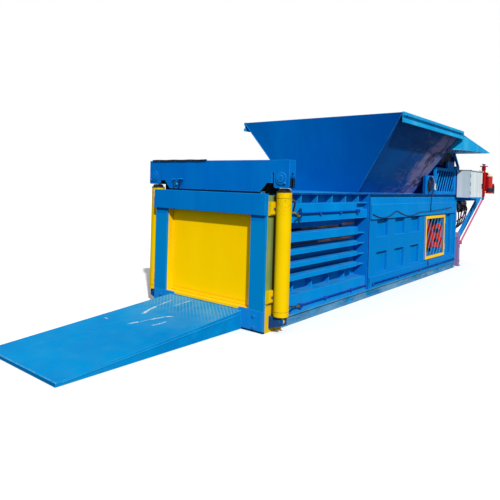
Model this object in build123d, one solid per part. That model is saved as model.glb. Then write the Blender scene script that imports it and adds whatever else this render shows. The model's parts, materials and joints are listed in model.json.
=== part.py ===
# Horizontal recycling baler: a lifting gate at the front, a slotted chamber,
# a feed hopper over the ram way, and the main cylinder and power pack at the rear.
# Frame: X runs along the machine from the gate to the rear, Y is across it,
# Z is up. The origin is on the ground under the front face of the gate frame.
# The right side is -Y, the side with the inspection window.
from build123d import *
from math import atan2, degrees, radians, tan
import os

# Gate frame
FRAME_WIDTH = 1660
POST_WIDTH = 194
POST_THICKNESS = 25
SILL_HEIGHT = 220
OPENING_HEIGHT = 970
HEADER_HEIGHT = 218
HEADER_PROUD = 30
COLUMN_DEPTH = 205
COLUMN_HEIGHT = 1390
COLUMN_WALL = 20
FOOT_FLARE = 130
TOE_REACH = 60
TOE_HALF_WIDTH = 440

# Gate and its lifting beam
GATE_THICKNESS = 60
GATE_SETBACK = 100
GATE_FACE_PLATE = 6
GATE_FACE_INSET = 42
GROOVE_DEPTH = 48
GATE_CLEARANCE = 0.5
BEAM_SPAN = 2100
BEAM_THICKNESS = 106
BEAM_TOP = 1753
BEAM_HEADER_GAP = 19

# Gate cylinders
CYLINDER_SPREAD = 1908
BARREL_RADIUS = 77.5
BARREL_BORE = 60
BARREL_BOTTOM = 180
BARREL_TOP = 1434
GATE_ROD_RADIUS = 35
GLAND_LENGTH = 60
FOOT_PIN_HEIGHT = 128
FOOT_PIN_RADIUS = 15
BEAM_PIN_HEIGHT = 1566
BEAM_PIN_RADIUS = 20
EYE_WIDTH = 40
EYE_RADIUS = 42
RUNNING_GAP = 0.3

# Chamber
CHAMBER_WIDTH = 1180
CHAMBER_LENGTH = 2083
WALL_THICKNESS = 30
RIB_DEPTH = 180
TIE_SLOT_HEIGHT = 28
TIE_SLOT_BASE = 432
TIE_SLOT_PITCH = 141
TIE_SLOT_START = 270
TIE_SLOT_END = 1950
RIB_HEIGHT = 50
TOP_RIB_HEIGHT = 94
RIB_END = 2130
RIB_CHAMFER = 70
RIB_PLATE = 8
UPPER_BEAM_BOTTOM = 1094
UPPER_BEAM_TOP = 1300
LOWER_BEAM_TOP = 300
GUSSET_PITCH = 343
GUSSET_THICKNESS = 14

# Body under the hopper
FLANGE_THICKNESS = 35
BODY_LENGTH = 3802
ROOF_DEPTH = 230
SKID_HEIGHT = 107
SKIN = 12
LINER_THICKNESS = 20
ROOF_SHELF = 710
POCKET_LENGTH = 380
POCKET_PITCH = 630
POCKET_DEPTH = 52
RAIL_BOTTOM = 1066
RAIL_TOP = 1360
RAIL_STEP = 25
RAIL_STEP_HEIGHT = 1270
BULKHEAD_THICKNESS = 35

# Inspection window
WINDOW_START = 4530
WINDOW_END = 5500
WINDOW_BOTTOM = 300
WINDOW_TOP = 1040
WINDOW_BAR = 45
WINDOW_THICKNESS = 24
GUARD_BAR_LEAN = 32
HINGE_RADIUS = 9
HINGE_PIN_RADIUS = 5

# Hopper
THROAT_START = 2490
THROAT_LENGTH = 2040
THROAT_WIDTH = 1102
HOPPER_START = 2197
HOPPER_LENGTH = 2569
HOPPER_WIDTH = 2610
HOPPER_HEIGHT = 1060
HOPPER_SHEET = 8
RIM_HEIGHT = 130
RIM_BAND = 22
RIM_BEAD = 28
APRON_END = 6553
APRON_DROP = 300
APRON_RISE = 56

# Ram and main cylinder
RAM_FACE = 1000
RAM_LENGTH = 1100
RAM_CLEARANCE = 5
RAM_FACE_PLATE = 50
RAM_PLATE = 25
MAIN_AXIS_HEIGHT = 705
MAIN_BARREL_RADIUS = 125
MAIN_BORE = 110
MAIN_ROD_RADIUS = 55
MAIN_BARREL_START = 4750
RAM_STROKE = 3500
MAIN_PIN_RADIUS = 35
ANCHOR_HOLE_RADIUS = 9

# Rear platform and what stands on it
PLATFORM_TOP = 1365
PLATFORM_LENGTH = 1700
SHELF_LENGTH = 750
SHELF_RIGHT = 1130
PLATFORM_DEPTH = 75
LEG_SETBACK = 190
LEG_HEIGHT = 660
CABINET_LENGTH = 820
CABINET_HEIGHT = 525
CABINET_DEPTH = 230
DOOR_THICKNESS = 20
TANK_INNER = 60
TANK_OUTER = 680
TANK_HEIGHT = 425

# Ramp
RAMP_LENGTH = 2074
RAMP_WIDTH = 1090
RAMP_HEIGHT = 190
RAMP_SHEET = 8

# Places that follow from the sizes above
HALF_FRAME = FRAME_WIDTH / 2
HALF_CHAMBER = CHAMBER_WIDTH / 2
HALF_OPENING = HALF_FRAME - POST_WIDTH
WALL_FACE = HALF_CHAMBER + WALL_THICKNESS
RIB_FACE = WALL_FACE + RIB_DEPTH
ROOF_BOTTOM = SILL_HEIGHT + OPENING_HEIGHT
HEADER_TOP = ROOF_BOTTOM + HEADER_HEIGHT
BODY_HEIGHT = ROOF_BOTTOM + ROOF_DEPTH
HOPPER_TOP = BODY_HEIGHT + HOPPER_HEIGHT
APRON_BASE = HOPPER_TOP - APRON_DROP
CHAMBER_START = POST_THICKNESS + COLUMN_DEPTH
FLANGE_START = CHAMBER_START + CHAMBER_LENGTH
BODY_START = FLANGE_START + FLANGE_THICKNESS
BODY_END = BODY_START + BODY_LENGTH
BULKHEAD_START = BODY_END - BULKHEAD_THICKNESS
FLOOR_BOTTOM = SILL_HEIGHT - WALL_THICKNESS
GATE_BACK = GATE_SETBACK + GATE_THICKNESS
GATE_HALF_WIDTH = HALF_OPENING + GROOVE_DEPTH
CYLINDER_Y = CYLINDER_SPREAD / 2
CYLINDER_X = GATE_SETBACK + GATE_THICKNESS / 2
THROAT_END = THROAT_START + THROAT_LENGTH
HALF_THROAT = THROAT_WIDTH / 2
HOPPER_END = HOPPER_START + HOPPER_LENGTH
APRON_START = HOPPER_END + 24
HALF_HOPPER = HOPPER_WIDTH / 2
RAM_END = RAM_FACE + RAM_LENGTH
RAM_BOTTOM = SILL_HEIGHT + RAM_CLEARANCE
RAM_TOP = ROOF_BOTTOM - RAM_CLEARANCE
RAM_HALF_WIDTH = HALF_CHAMBER - RAM_CLEARANCE
PLATFORM_END = BODY_END + PLATFORM_LENGTH
SHELF_END = BODY_END + SHELF_LENGTH
LEG_START = BODY_END + LEG_SETBACK
SIDES = {"right": -1, "left": 1}


def block(x0, x1, y0, y1, z0, z1):
    """Rectangular block between two corners."""
    centre = Pos((x0 + x1) / 2, (y0 + y1) / 2, (z0 + z1) / 2)
    return centre * Box(abs(x1 - x0), abs(y1 - y0), abs(z1 - z0))


def side_block(side, x0, x1, out0, out1, z0, z1):
    """Block on one side of the machine, measured outwards from the centre plane."""
    return block(x0, x1, side * out0, side * out1, z0, z1)


def round_bar(start, axis, length, radius):
    """Cylinder from a start point along an axis."""
    plane = Plane(origin=start, z_dir=axis)
    return extrude(plane * Circle(radius), length)


def tube(start, axis, length, outer, inner):
    """Hollow cylinder from a start point along an axis."""
    plane = Plane(origin=start, z_dir=axis)
    return extrude(plane * (Circle(outer) - Circle(inner)), length)


def side_plate(points, out0, out1, side=1):
    """Plate with an outline in X and Z, standing in a plane across Y."""
    plane = Plane(origin=(0, 0, 0), x_dir=(1, 0, 0), z_dir=(0, -1, 0))
    face = plane * make_face(Polyline(*points, close=True))
    thickness = abs(out1 - out0)
    plate = extrude(face, thickness)
    return Pos(0, max(side * out0, side * out1), 0) * plate


def front_plate(points, x0, x1):
    """Plate with an outline in Y and Z, of thickness along X."""
    plane = Plane(origin=(x0, 0, 0), x_dir=(0, 1, 0), z_dir=(1, 0, 0))
    return extrude(plane * make_face(Polyline(*points, close=True)), x1 - x0)


def plan_column(points, z0, z1):
    """Upright with an outline in X and Y."""
    face = Pos(0, 0, z0) * make_face(Polyline(*points, close=True))
    return extrude(face, z1 - z0)


def join(*solids):
    """One welded piece from several overlapping or touching solids."""
    result = solids[0]
    for solid in solids[1:]:
        result = result + solid
    return result


def group(*solids):
    """Separate solids kept in one node."""
    return Compound(children=[part for solid in solids for part in solid.solids()])


def hex_bolt(tip, axis, shank, across=30, head=13, radius=10):
    """Hexagon bolt whose head stands on the surface at tip, shank going in."""
    out = Plane(origin=tip, z_dir=axis)
    body = extrude(out * RegularPolygon(across / 2, 6, major_radius=False), head)
    return body + extrude(out * Circle(radius), -shank)


def hose_run(points, radius):
    """Round hose along straight runs joined by arcs as large as the runs allow."""
    corners = [Vector(*point) for point in points]
    radii = []
    for before, here, after in zip(corners, corners[1:], corners[2:]):
        arrive = here - before
        leave = after - here
        turn = radians(arrive.get_angle(leave))
        radii.append(0.45 * min(arrive.length, leave.length) / tan(turn / 2))
    path = FilletPolyline(*corners, radius=radii)
    start = Plane(origin=path @ 0, z_dir=path % 0)
    return sweep(start * Circle(radius), path=path), min(radii)


# Base

def base_frame():
    """Two long skids with the cross members butted between them."""
    members = []
    for side in SIDES.values():
        skid = side_block(side, CHAMBER_START, BODY_END, WALL_FACE, HALF_FRAME, 0, SKID_HEIGHT)
        recess = side_block(side, CHAMBER_START, BODY_END, HALF_FRAME - 24, HALF_FRAME + 1,
                            SKIN, SKID_HEIGHT - SKIN)
        members.append(skid - recess)
    count = 6
    for index in range(count):
        centre = CHAMBER_START + 700 + index * 1000
        members.append(block(centre - 60, centre + 60, -WALL_FACE, WALL_FACE, 0, FLOOR_BOTTOM))
    front = block(POST_THICKNESS, CHAMBER_START, -HALF_CHAMBER, HALF_CHAMBER, 0, SILL_HEIGHT - 25)
    toe = block(-TOE_REACH, POST_THICKNESS, -TOE_HALF_WIDTH, TOE_HALF_WIDTH, 0, 10)
    members.append(front + toe)
    return group(*members)


# Gate frame

def gate_portal():
    """Two flat posts with a header box standing proud of them."""
    posts = [side_block(side, 0, POST_THICKNESS, HALF_OPENING, HALF_FRAME, SILL_HEIGHT, ROOF_BOTTOM)
             for side in SIDES.values()]
    header = block(-HEADER_PROUD, POST_THICKNESS, -HALF_FRAME - 6, HALF_FRAME + 6,
                   ROOF_BOTTOM, HEADER_TOP)
    header = fillet(header.edges().filter_by(Axis.Y).group_by(Axis.X)[0], 6)
    return join(header, *posts)


SILL_BOLT_PLACES = [(out, height) for out in (HALF_FRAME - 122,) for height in (45, 160)]
CLAMP_HEIGHTS = [(300, 430), (1190, 1330)]
CLAMP_REACH = 42


def sill_blocks():
    """Bolted cheek plates below the posts, either side of the ramp."""
    plates = []
    for side in SIDES.values():
        plate = side_block(side, 0, POST_THICKNESS, 500, HALF_FRAME, 0, SILL_HEIGHT)
        for out, height in SILL_BOLT_PLACES:
            plate -= round_bar((0, side * out, height), (1, 0, 0), POST_THICKNESS, 10.5)
        plates.append(plate)
    return group(*plates)


def clamp_blocks():
    """Blocks on the column sides that steady the gate cylinders."""
    blocks = []
    for side in SIDES.values():
        for low, high in CLAMP_HEIGHTS:
            piece = side_block(side, 30, 125, HALF_FRAME, HALF_FRAME + CLAMP_REACH, low, high)
            edges = piece.edges().filter_by(Axis.X).group_by(Axis.Z)[0]
            outer = edges.sort_by(Axis.Y)[0 if side < 0 else -1]
            piece = chamfer(outer, 16)
            hole = round_bar((78, side * (HALF_FRAME + CLAMP_REACH), (low + high) / 2),
                             (0, -side, 0), 32, 10.5)
            blocks.append(piece - hole)
    return group(*blocks)


def frame_bolts():
    """Bolts of the sill blocks and of the clamp blocks."""
    bolts = []
    for side in SIDES.values():
        for out, height in SILL_BOLT_PLACES:
            bolts.append(hex_bolt((0, side * out, height), (-1, 0, 0), 24))
        for low, high in CLAMP_HEIGHTS:
            tip = (78, side * (HALF_FRAME + CLAMP_REACH), (low + high) / 2)
            bolts.append(hex_bolt(tip, (0, side, 0), 28, across=24, head=11))
    return group(*bolts)


def guide_column(side):
    """Upright with the groove that guides one edge of the gate, and a flared foot."""
    groove_front = GATE_SETBACK - GATE_CLEARANCE
    groove_back = GATE_BACK + GATE_CLEARANCE
    groove_out = GATE_HALF_WIDTH + GATE_CLEARANCE
    outline = [
        (POST_THICKNESS, side * HALF_OPENING), (POST_THICKNESS, side * HALF_FRAME),
        (CHAMBER_START, side * HALF_FRAME), (CHAMBER_START, side * HALF_CHAMBER),
        (groove_back, side * HALF_CHAMBER), (groove_back, side * groove_out),
        (groove_front, side * groove_out), (groove_front, side * HALF_OPENING),
    ]
    column = plan_column(outline, 0, COLUMN_HEIGHT)
    hollow = side_block(side, POST_THICKNESS + COLUMN_WALL, CHAMBER_START - COLUMN_WALL,
                        groove_out + COLUMN_WALL, HALF_FRAME - COLUMN_WALL,
                        0, COLUMN_HEIGHT - COLUMN_WALL)
    plane = Plane(origin=(0, 0, 0), x_dir=(1, 0, 0), z_dir=(0, -1, 0))
    corner = CHAMBER_START - 50
    rise = Line((corner, 0), (corner, FOOT_FLARE))
    sweep_in = RadiusArc((corner, FOOT_FLARE), (corner + FOOT_FLARE, SKIN), FOOT_FLARE * 1.05)
    toe = Line((corner + FOOT_FLARE, SKIN), (corner + FOOT_FLARE, 0))
    ground = Line((corner + FOOT_FLARE, 0), (corner, 0))
    foot = extrude(plane * make_face([rise, sweep_in, toe, ground]), SKIN)
    foot = Pos(0, max(side * HALF_FRAME, side * (HALF_FRAME + SKIN)), 0) * foot
    return join(column - hollow, foot)


def gate_sill():
    """Ledge under the gate, between the columns."""
    ledge = block(POST_THICKNESS, GATE_SETBACK - GATE_CLEARANCE, -HALF_OPENING, HALF_OPENING,
                  SILL_HEIGHT - 25, SILL_HEIGHT)
    rear = block(GATE_SETBACK - GATE_CLEARANCE, CHAMBER_START, -HALF_CHAMBER, HALF_CHAMBER,
                 SILL_HEIGHT - 25, SILL_HEIGHT)
    return join(ledge, rear)


# Gate

def gate_panel():
    """Thick sliding gate with a thinner face plate inside its border."""
    bottom = SILL_HEIGHT + 4
    top = HEADER_TOP + BEAM_HEADER_GAP
    panel = block(GATE_SETBACK, GATE_BACK, -GATE_HALF_WIDTH, GATE_HALF_WIDTH, bottom, top)
    edge = HALF_OPENING - GATE_FACE_INSET
    face = block(GATE_SETBACK - GATE_FACE_PLATE, GATE_SETBACK, -edge, edge,
                 bottom + GATE_FACE_INSET, top - 60)
    return join(panel, face)


BEAM_FRONT = GATE_SETBACK - 30
LUG_INNER = 862
LUG_OUTER = 1048
LUG_BOTTOM = 1470
LUG_TOP = 1625
BEAM_STEP = 838
DOUBLER_THICKNESS = 12
CLOSING_PLATE_BOTTOM = 1402


def lug_plate(x0, x1, side):
    """Hanging lug with a rounded foot."""
    plate = side_block(side, x0, x1, LUG_INNER, LUG_OUTER, LUG_BOTTOM, LUG_TOP)
    return fillet(plate.edges().filter_by(Axis.X).group_by(Axis.Z)[0], 22)


def lifting_beam():
    """Deep box over the gate, with a pair of lugs and a doubler at each end for the rods."""
    bottom = HEADER_TOP + BEAM_HEADER_GAP
    half = BEAM_SPAN / 2
    outline = []
    for side in (1, -1):
        edge = [(half, BEAM_TOP), (half, LUG_TOP), (BEAM_STEP, LUG_TOP), (BEAM_STEP, 1520),
                (773, 1520), (GATE_HALF_WIDTH, bottom)]
        edge = [(side * y, z) for y, z in edge]
        outline += edge if side == 1 else edge[::-1]
    back = BEAM_FRONT + BEAM_THICKNESS
    pieces = [front_plate(outline, BEAM_FRONT, back)]
    front_ear = CYLINDER_X - EYE_WIDTH / 2 - 2
    rear_ear = CYLINDER_X + EYE_WIDTH / 2 + 2
    holes = []
    for side in SIDES.values():
        centre = side * CYLINDER_Y
        pieces.append(lug_plate(BEAM_FRONT, front_ear, side))
        pieces.append(lug_plate(rear_ear, back, side))
        pieces.append(side_block(side, back - SKIN, back, 684, LUG_INNER,
                                 CLOSING_PLATE_BOTTOM, LUG_TOP))
        pieces.append(round_bar((BEAM_FRONT - DOUBLER_THICKNESS, centre, BEAM_PIN_HEIGHT), (1, 0, 0),
                                DOUBLER_THICKNESS, 62))
        holes.append(round_bar((BEAM_FRONT - 20, centre, BEAM_PIN_HEIGHT), (1, 0, 0),
                               BEAM_THICKNESS + 40, BEAM_PIN_RADIUS + RUNNING_GAP))
    beam = join(*pieces)
    for hole in holes:
        beam -= hole
    return beam


def gate_rods():
    """Rod, piston and eye of each gate cylinder, at the bottom of the stroke."""
    rods = []
    for side in SIDES.values():
        centre = side * CYLINDER_Y
        foot = BARREL_BOTTOM + 40
        piston = round_bar((CYLINDER_X, centre, foot), (0, 0, 1), 60, BARREL_BORE - RUNNING_GAP)
        shaft = round_bar((CYLINDER_X, centre, foot), (0, 0, 1),
                          LUG_BOTTOM - 4 - foot, GATE_ROD_RADIUS)
        neck = block(CYLINDER_X - EYE_WIDTH / 2, CYLINDER_X + EYE_WIDTH / 2,
                     centre - 32, centre + 32, LUG_BOTTOM - 4, BEAM_PIN_HEIGHT)
        eye = round_bar((CYLINDER_X - EYE_WIDTH / 2, centre, BEAM_PIN_HEIGHT), (1, 0, 0),
                        EYE_WIDTH, EYE_RADIUS)
        hole = round_bar((CYLINDER_X - EYE_WIDTH, centre, BEAM_PIN_HEIGHT), (1, 0, 0),
                         2 * EYE_WIDTH, BEAM_PIN_RADIUS + RUNNING_GAP)
        rods.append(join(shaft, piston, neck, eye) - hole)
    return group(*rods)


def beam_pins():
    """Pins that carry the beam on the rod eyes, each with a flat head in front."""
    pins = []
    start = BEAM_FRONT - DOUBLER_THICKNESS - 1
    for side in SIDES.values():
        centre = side * CYLINDER_Y
        pin = round_bar((start, centre, BEAM_PIN_HEIGHT), (1, 0, 0),
                        BEAM_THICKNESS + DOUBLER_THICKNESS + 10, BEAM_PIN_RADIUS)
        head = round_bar((start - 8, centre, BEAM_PIN_HEIGHT), (1, 0, 0), 8, BEAM_PIN_RADIUS + 12)
        pins.append(pin + head)
    return group(*pins)


def gate_barrel(side):
    """Barrel with its gland, ports and the eye at its foot."""
    centre = side * CYLINDER_Y
    barrel = round_bar((CYLINDER_X, centre, BARREL_BOTTOM), (0, 0, 1),
                       BARREL_TOP - BARREL_BOTTOM, BARREL_RADIUS)
    barrel = fillet(barrel.edges().filter_by(GeomType.CIRCLE), 5)
    bore = round_bar((CYLINDER_X, centre, BARREL_BOTTOM + 38), (0, 0, 1),
                     BARREL_TOP - GLAND_LENGTH - BARREL_BOTTOM - 38, BARREL_BORE)
    gland = round_bar((CYLINDER_X, centre, BARREL_TOP - GLAND_LENGTH - 1), (0, 0, 1),
                      GLAND_LENGTH + 2, GATE_ROD_RADIUS + RUNNING_GAP)
    barrel -= bore + gland
    for height in (BARREL_BOTTOM + 64, BARREL_TOP - GLAND_LENGTH - 24):
        boss = round_bar((CYLINDER_X + BARREL_BORE + 4, centre, height), (1, 0, 0), 32, 17)
        barrel += boss
    eye = round_bar((CYLINDER_X - EYE_WIDTH / 2, centre, FOOT_PIN_HEIGHT), (1, 0, 0), EYE_WIDTH, 34)
    neck = block(CYLINDER_X - EYE_WIDTH / 2, CYLINDER_X + EYE_WIDTH / 2, centre - 30, centre + 30,
                 FOOT_PIN_HEIGHT, BARREL_BOTTOM + 6)
    hole = round_bar((CYLINDER_X - EYE_WIDTH, centre, FOOT_PIN_HEIGHT), (1, 0, 0),
                     2 * EYE_WIDTH, FOOT_PIN_RADIUS + RUNNING_GAP)
    return join(barrel, eye, neck) - hole


def foot_brackets():
    """Clevis brackets welded to the column sides, under the gate cylinders."""
    brackets = []
    reach = CYLINDER_Y + 46
    inner = CYLINDER_X - EYE_WIDTH / 2 - 2
    outer = CYLINDER_X + EYE_WIDTH / 2 + 2
    for side in SIDES.values():
        pieces = [side_block(side, inner - 18, outer + 18, HALF_FRAME, HALF_FRAME + 16, 40, 168)]
        for start in (inner - 18, outer):
            ear = front_plate([(side * HALF_FRAME, 40), (side * HALF_FRAME, 168),
                               (side * reach, 166), (side * reach, 96)], start, start + 18)
            pieces.append(ear)
        hole = round_bar((inner - 20, side * CYLINDER_Y, FOOT_PIN_HEIGHT), (1, 0, 0),
                         outer - inner + 40, FOOT_PIN_RADIUS + RUNNING_GAP)
        brackets.append(join(*pieces) - hole)
    return group(*brackets)


def foot_pins():
    """Pins through the clevis brackets and the barrel eyes."""
    pins = []
    start = CYLINDER_X - EYE_WIDTH / 2 - 26
    for side in SIDES.values():
        pin = round_bar((start, side * CYLINDER_Y, FOOT_PIN_HEIGHT), (1, 0, 0),
                        EYE_WIDTH + 52, FOOT_PIN_RADIUS)
        head = round_bar((start, side * CYLINDER_Y, FOOT_PIN_HEIGHT), (1, 0, 0), 6, FOOT_PIN_RADIUS + 8)
        pins.append(pin + head)
    return group(*pins)


# Chamber

def tie_slot_bottoms():
    """Heights of the tie slots' lower edges: four under the ribs, one over the top rib."""
    lower = [TIE_SLOT_BASE + index * TIE_SLOT_PITCH for index in range(4)]
    return lower + [lower[-1] + TIE_SLOT_HEIGHT + TOP_RIB_HEIGHT]


def chamber_wall(side):
    """Slotted wall plate with the box beams above and below, and their gussets."""
    wall = side_block(side, CHAMBER_START, FLANGE_START, HALF_CHAMBER, WALL_FACE,
                      FLOOR_BOTTOM, ROOF_BOTTOM)
    for bottom in tie_slot_bottoms():
        wall -= side_block(side, TIE_SLOT_START, TIE_SLOT_END, HALF_CHAMBER - 1, WALL_FACE + 1,
                           bottom, bottom + TIE_SLOT_HEIGHT)
    upper = side_block(side, CHAMBER_START, FLANGE_START, WALL_FACE, RIB_FACE,
                       UPPER_BEAM_BOTTOM, ROOF_BOTTOM)
    shelf = side_block(side, CHAMBER_START, FLANGE_START, ROOF_SHELF, RIB_FACE,
                       ROOF_BOTTOM, UPPER_BEAM_TOP)
    notch = side_block(side, RIB_END - 120, FLANGE_START, RIB_FACE - 60, RIB_FACE + 1,
                       ROOF_BOTTOM + 20, UPPER_BEAM_TOP - SKIN)
    upper_space = side_block(side, CHAMBER_START - 1, FLANGE_START + 1, WALL_FACE + SKIN,
                             RIB_FACE - SKIN, UPPER_BEAM_BOTTOM + SKIN, ROOF_BOTTOM - SKIN)
    lower = side_block(side, CHAMBER_START, FLANGE_START, WALL_FACE, RIB_FACE,
                       SKID_HEIGHT, LOWER_BEAM_TOP)
    lip = side_block(side, CHAMBER_START, FLANGE_START, RIB_FACE, HALF_FRAME,
                     SKID_HEIGHT, SKID_HEIGHT + SKIN)
    lower_space = side_block(side, CHAMBER_START - 1, FLANGE_START + 1, WALL_FACE + SKIN,
                             RIB_FACE - SKIN, SKID_HEIGHT + SKIN, LOWER_BEAM_TOP - SKIN)
    pieces = [wall, upper + shelf - upper_space - notch, lower + lip - lower_space]
    for index in range(5):
        x = CHAMBER_START + 440 + index * GUSSET_PITCH
        pieces.append(side_block(side, x, x + GUSSET_THICKNESS, ROOF_SHELF, RIB_FACE,
                                 UPPER_BEAM_TOP, BODY_HEIGHT - 15))
    for index in range(4):
        x = CHAMBER_START + 470 + index * 400
        pieces.append(side_block(side, x, x + GUSSET_THICKNESS, WALL_FACE, WALL_FACE + 80,
                                 LOWER_BEAM_TOP, TIE_SLOT_BASE - 34))
    return join(*pieces)


def tie_ribs(side):
    """Channel ribs between the tie slots, each with a chamfered end and a tail plate."""
    ribs = []
    for index, slot in enumerate(tie_slot_bottoms()[:4]):
        bottom = slot + TIE_SLOT_HEIGHT
        height = TOP_RIB_HEIGHT if index == 3 else RIB_HEIGHT
        outline = [(CHAMBER_START, side * WALL_FACE), (CHAMBER_START, side * RIB_FACE),
                   (RIB_END - RIB_CHAMFER, side * RIB_FACE),
                   (RIB_END, side * (RIB_FACE - RIB_CHAMFER)), (RIB_END, side * WALL_FACE)]
        rib = plan_column(outline, bottom, bottom + height)
        space = side_block(side, CHAMBER_START + RIB_PLATE, RIB_END - RIB_CHAMFER - RIB_PLATE,
                           WALL_FACE - 1, RIB_FACE - RIB_PLATE,
                           bottom + RIB_PLATE, bottom + height - RIB_PLATE)
        tail = side_block(side, RIB_END, FLANGE_START, WALL_FACE, RIB_FACE - 30,
                          bottom, bottom + SKIN)
        ribs.append(rib - space + tail)
    return group(*ribs)


def chamber_roof():
    """Open-ended box roof: soffit, top plate and three long webs."""
    soffit = block(CHAMBER_START, FLANGE_START, -ROOF_SHELF, ROOF_SHELF,
                   ROOF_BOTTOM, ROOF_BOTTOM + 25)
    top = block(CHAMBER_START, FLANGE_START, -HALF_FRAME + 10, HALF_FRAME - 10,
                BODY_HEIGHT - 15, BODY_HEIGHT)
    webs = [block(CHAMBER_START, FLANGE_START, y - SKIN / 2, y + SKIN / 2,
                  ROOF_BOTTOM + 25, BODY_HEIGHT - 15)
            for y in (-ROOF_SHELF + SKIN / 2, 0, ROOF_SHELF - SKIN / 2)]
    return join(soffit, top, *webs)


def body_floor():
    """Floor plate that the ram slides on, from the gate to the rear bulkhead."""
    return block(CHAMBER_START, BULKHEAD_START, -HALF_CHAMBER, HALF_CHAMBER,
                 FLOOR_BOTTOM, SILL_HEIGHT)


def joint_flange():
    """Upright flange plate between the chamber and the body."""
    plate = block(FLANGE_START, BODY_START, -HALF_FRAME, HALF_FRAME, SKID_HEIGHT, BODY_HEIGHT)
    way = block(FLANGE_START - 1, BODY_START + 1, -HALF_CHAMBER, HALF_CHAMBER,
                FLOOR_BOTTOM, ROOF_BOTTOM)
    bay = block(FLANGE_START - 1, BODY_START + 1, -WALL_FACE, WALL_FACE,
                SKID_HEIGHT - 1, FLOOR_BOTTOM)
    return plate - way - bay


# Body

def body_side(side, window):
    """Side of the body: ram liner, skin with rows of recessed pockets, and long rails."""
    wall = side_block(side, BODY_START, BULKHEAD_START, HALF_CHAMBER, RIB_FACE,
                      SKID_HEIGHT, ROOF_BOTTOM)
    wall -= side_block(side, BODY_START - 1, BULKHEAD_START + 1, HALF_CHAMBER - 1, HALF_CHAMBER + 30,
                       SKID_HEIGHT - 1, FLOOR_BOTTOM)
    shoulder = side_block(side, BODY_START, BULKHEAD_START, ROOF_SHELF, RIB_FACE,
                          ROOF_BOTTOM, BODY_HEIGHT - 15)
    rail = side_block(side, BODY_START + 70, BULKHEAD_START, RIB_FACE, HALF_FRAME,
                      RAIL_BOTTOM, RAIL_TOP)
    rail -= side_block(side, BODY_START, BULKHEAD_START, HALF_FRAME - RAIL_STEP, HALF_FRAME + 1,
                       RAIL_STEP_HEIGHT, RAIL_TOP + 1)
    sill = side_block(side, BODY_START + 70, BULKHEAD_START, RIB_FACE, HALF_FRAME,
                      SKID_HEIGHT, 262)
    body = join(wall, shoulder, rail, sill)
    inner = HALF_CHAMBER + LINER_THICKNESS
    pocket_floor = RIB_FACE - POCKET_DEPTH
    rows = [(295, 592), (800, RAIL_BOTTOM)]
    starts = [BODY_START + 302 + index * POCKET_PITCH for index in range(-1, 3)]
    for low, high in rows:
        for start in starts:
            first = max(start, BODY_START)
            body -= side_block(side, first, start + POCKET_LENGTH, pocket_floor, RIB_FACE + 1,
                               low, high)
    body -= side_block(side, BODY_START, BODY_START + 70, pocket_floor, RIB_FACE + 1,
                       SKID_HEIGHT + 60, BODY_HEIGHT - 60)
    cells = [(BODY_START + SKIN, WINDOW_START - 20)]
    if window:
        body -= side_block(side, WINDOW_START + WINDOW_BAR, WINDOW_END - WINDOW_BAR,
                           HALF_CHAMBER - 1, HALF_FRAME + 1,
                           WINDOW_BOTTOM + WINDOW_BAR, WINDOW_TOP - WINDOW_BAR)
        cells.append((WINDOW_END + 20, BULKHEAD_START - SKIN))
        body -= side_block(side, WINDOW_END + 150, BULKHEAD_START - 200, pocket_floor, RIB_FACE + 1,
                           WINDOW_BOTTOM, WINDOW_TOP)
    else:
        cells = [(BODY_START + SKIN, BULKHEAD_START - SKIN)]
    for low, high in cells:
        body -= side_block(side, low, high, inner + 2, pocket_floor - SKIN,
                           SKID_HEIGHT - 1, ROOF_BOTTOM - SKIN)
    return body


def body_roof():
    """Deck beside and behind the throat, with the throat trunk under the hopper."""
    top = block(BODY_START, BULKHEAD_START, -HALF_FRAME - 10, HALF_FRAME + 10,
                BODY_HEIGHT - 15, BODY_HEIGHT)
    soffit = block(BODY_START, BULKHEAD_START, -ROOF_SHELF, ROOF_SHELF, ROOF_BOTTOM, ROOF_BOTTOM + 25)
    webs = [block(BODY_START, BULKHEAD_START, y - SKIN / 2, y + SKIN / 2,
                  ROOF_BOTTOM, BODY_HEIGHT - 15)
            for y in (-ROOF_SHELF + SKIN / 2, ROOF_SHELF - SKIN / 2)]
    trunk = block(THROAT_START - SKIN, THROAT_END + SKIN, -HALF_THROAT - SKIN, HALF_THROAT + SKIN,
                  ROOF_BOTTOM, BODY_HEIGHT)
    throat = block(THROAT_START, THROAT_END, -HALF_THROAT, HALF_THROAT,
                   ROOF_BOTTOM - 1, BODY_HEIGHT + 1)
    seat = block(THROAT_START - 68, THROAT_START - SKIN, -HALF_THROAT, HALF_THROAT,
                 ROOF_BOTTOM - 1, ROOF_BOTTOM + 25)
    return join(top, soffit, trunk, *webs) - throat - seat


def throat_knife():
    """Fixed shear knife let into the front edge of the throat."""
    bar = block(THROAT_START - 68, THROAT_START - SKIN, -HALF_THROAT, HALF_THROAT,
                ROOF_BOTTOM, ROOF_BOTTOM + 25)
    return chamfer(bar.edges().filter_by(Axis.Y).group_by(Axis.Z)[0].sort_by(Axis.X)[-1], 6)


def rear_bulkhead():
    """Rear plate of the body with the bore that the main cylinder passes through."""
    plate = block(BULKHEAD_START, BODY_END, -HALF_FRAME, HALF_FRAME, SKID_HEIGHT, BODY_HEIGHT)
    bore = round_bar((BULKHEAD_START - 1, 0, MAIN_AXIS_HEIGHT), (1, 0, 0),
                     BULKHEAD_THICKNESS + 2, MAIN_BARREL_RADIUS + RUNNING_GAP)
    return plate - bore


# Inspection window

HINGE_X = WINDOW_END + HINGE_RADIUS + 2
HINGE_OUT = RIB_FACE + WINDOW_THICKNESS / 2 + 4
HINGE_HEIGHTS = (WINDOW_BOTTOM + 130, WINDOW_TOP - 130)


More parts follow.
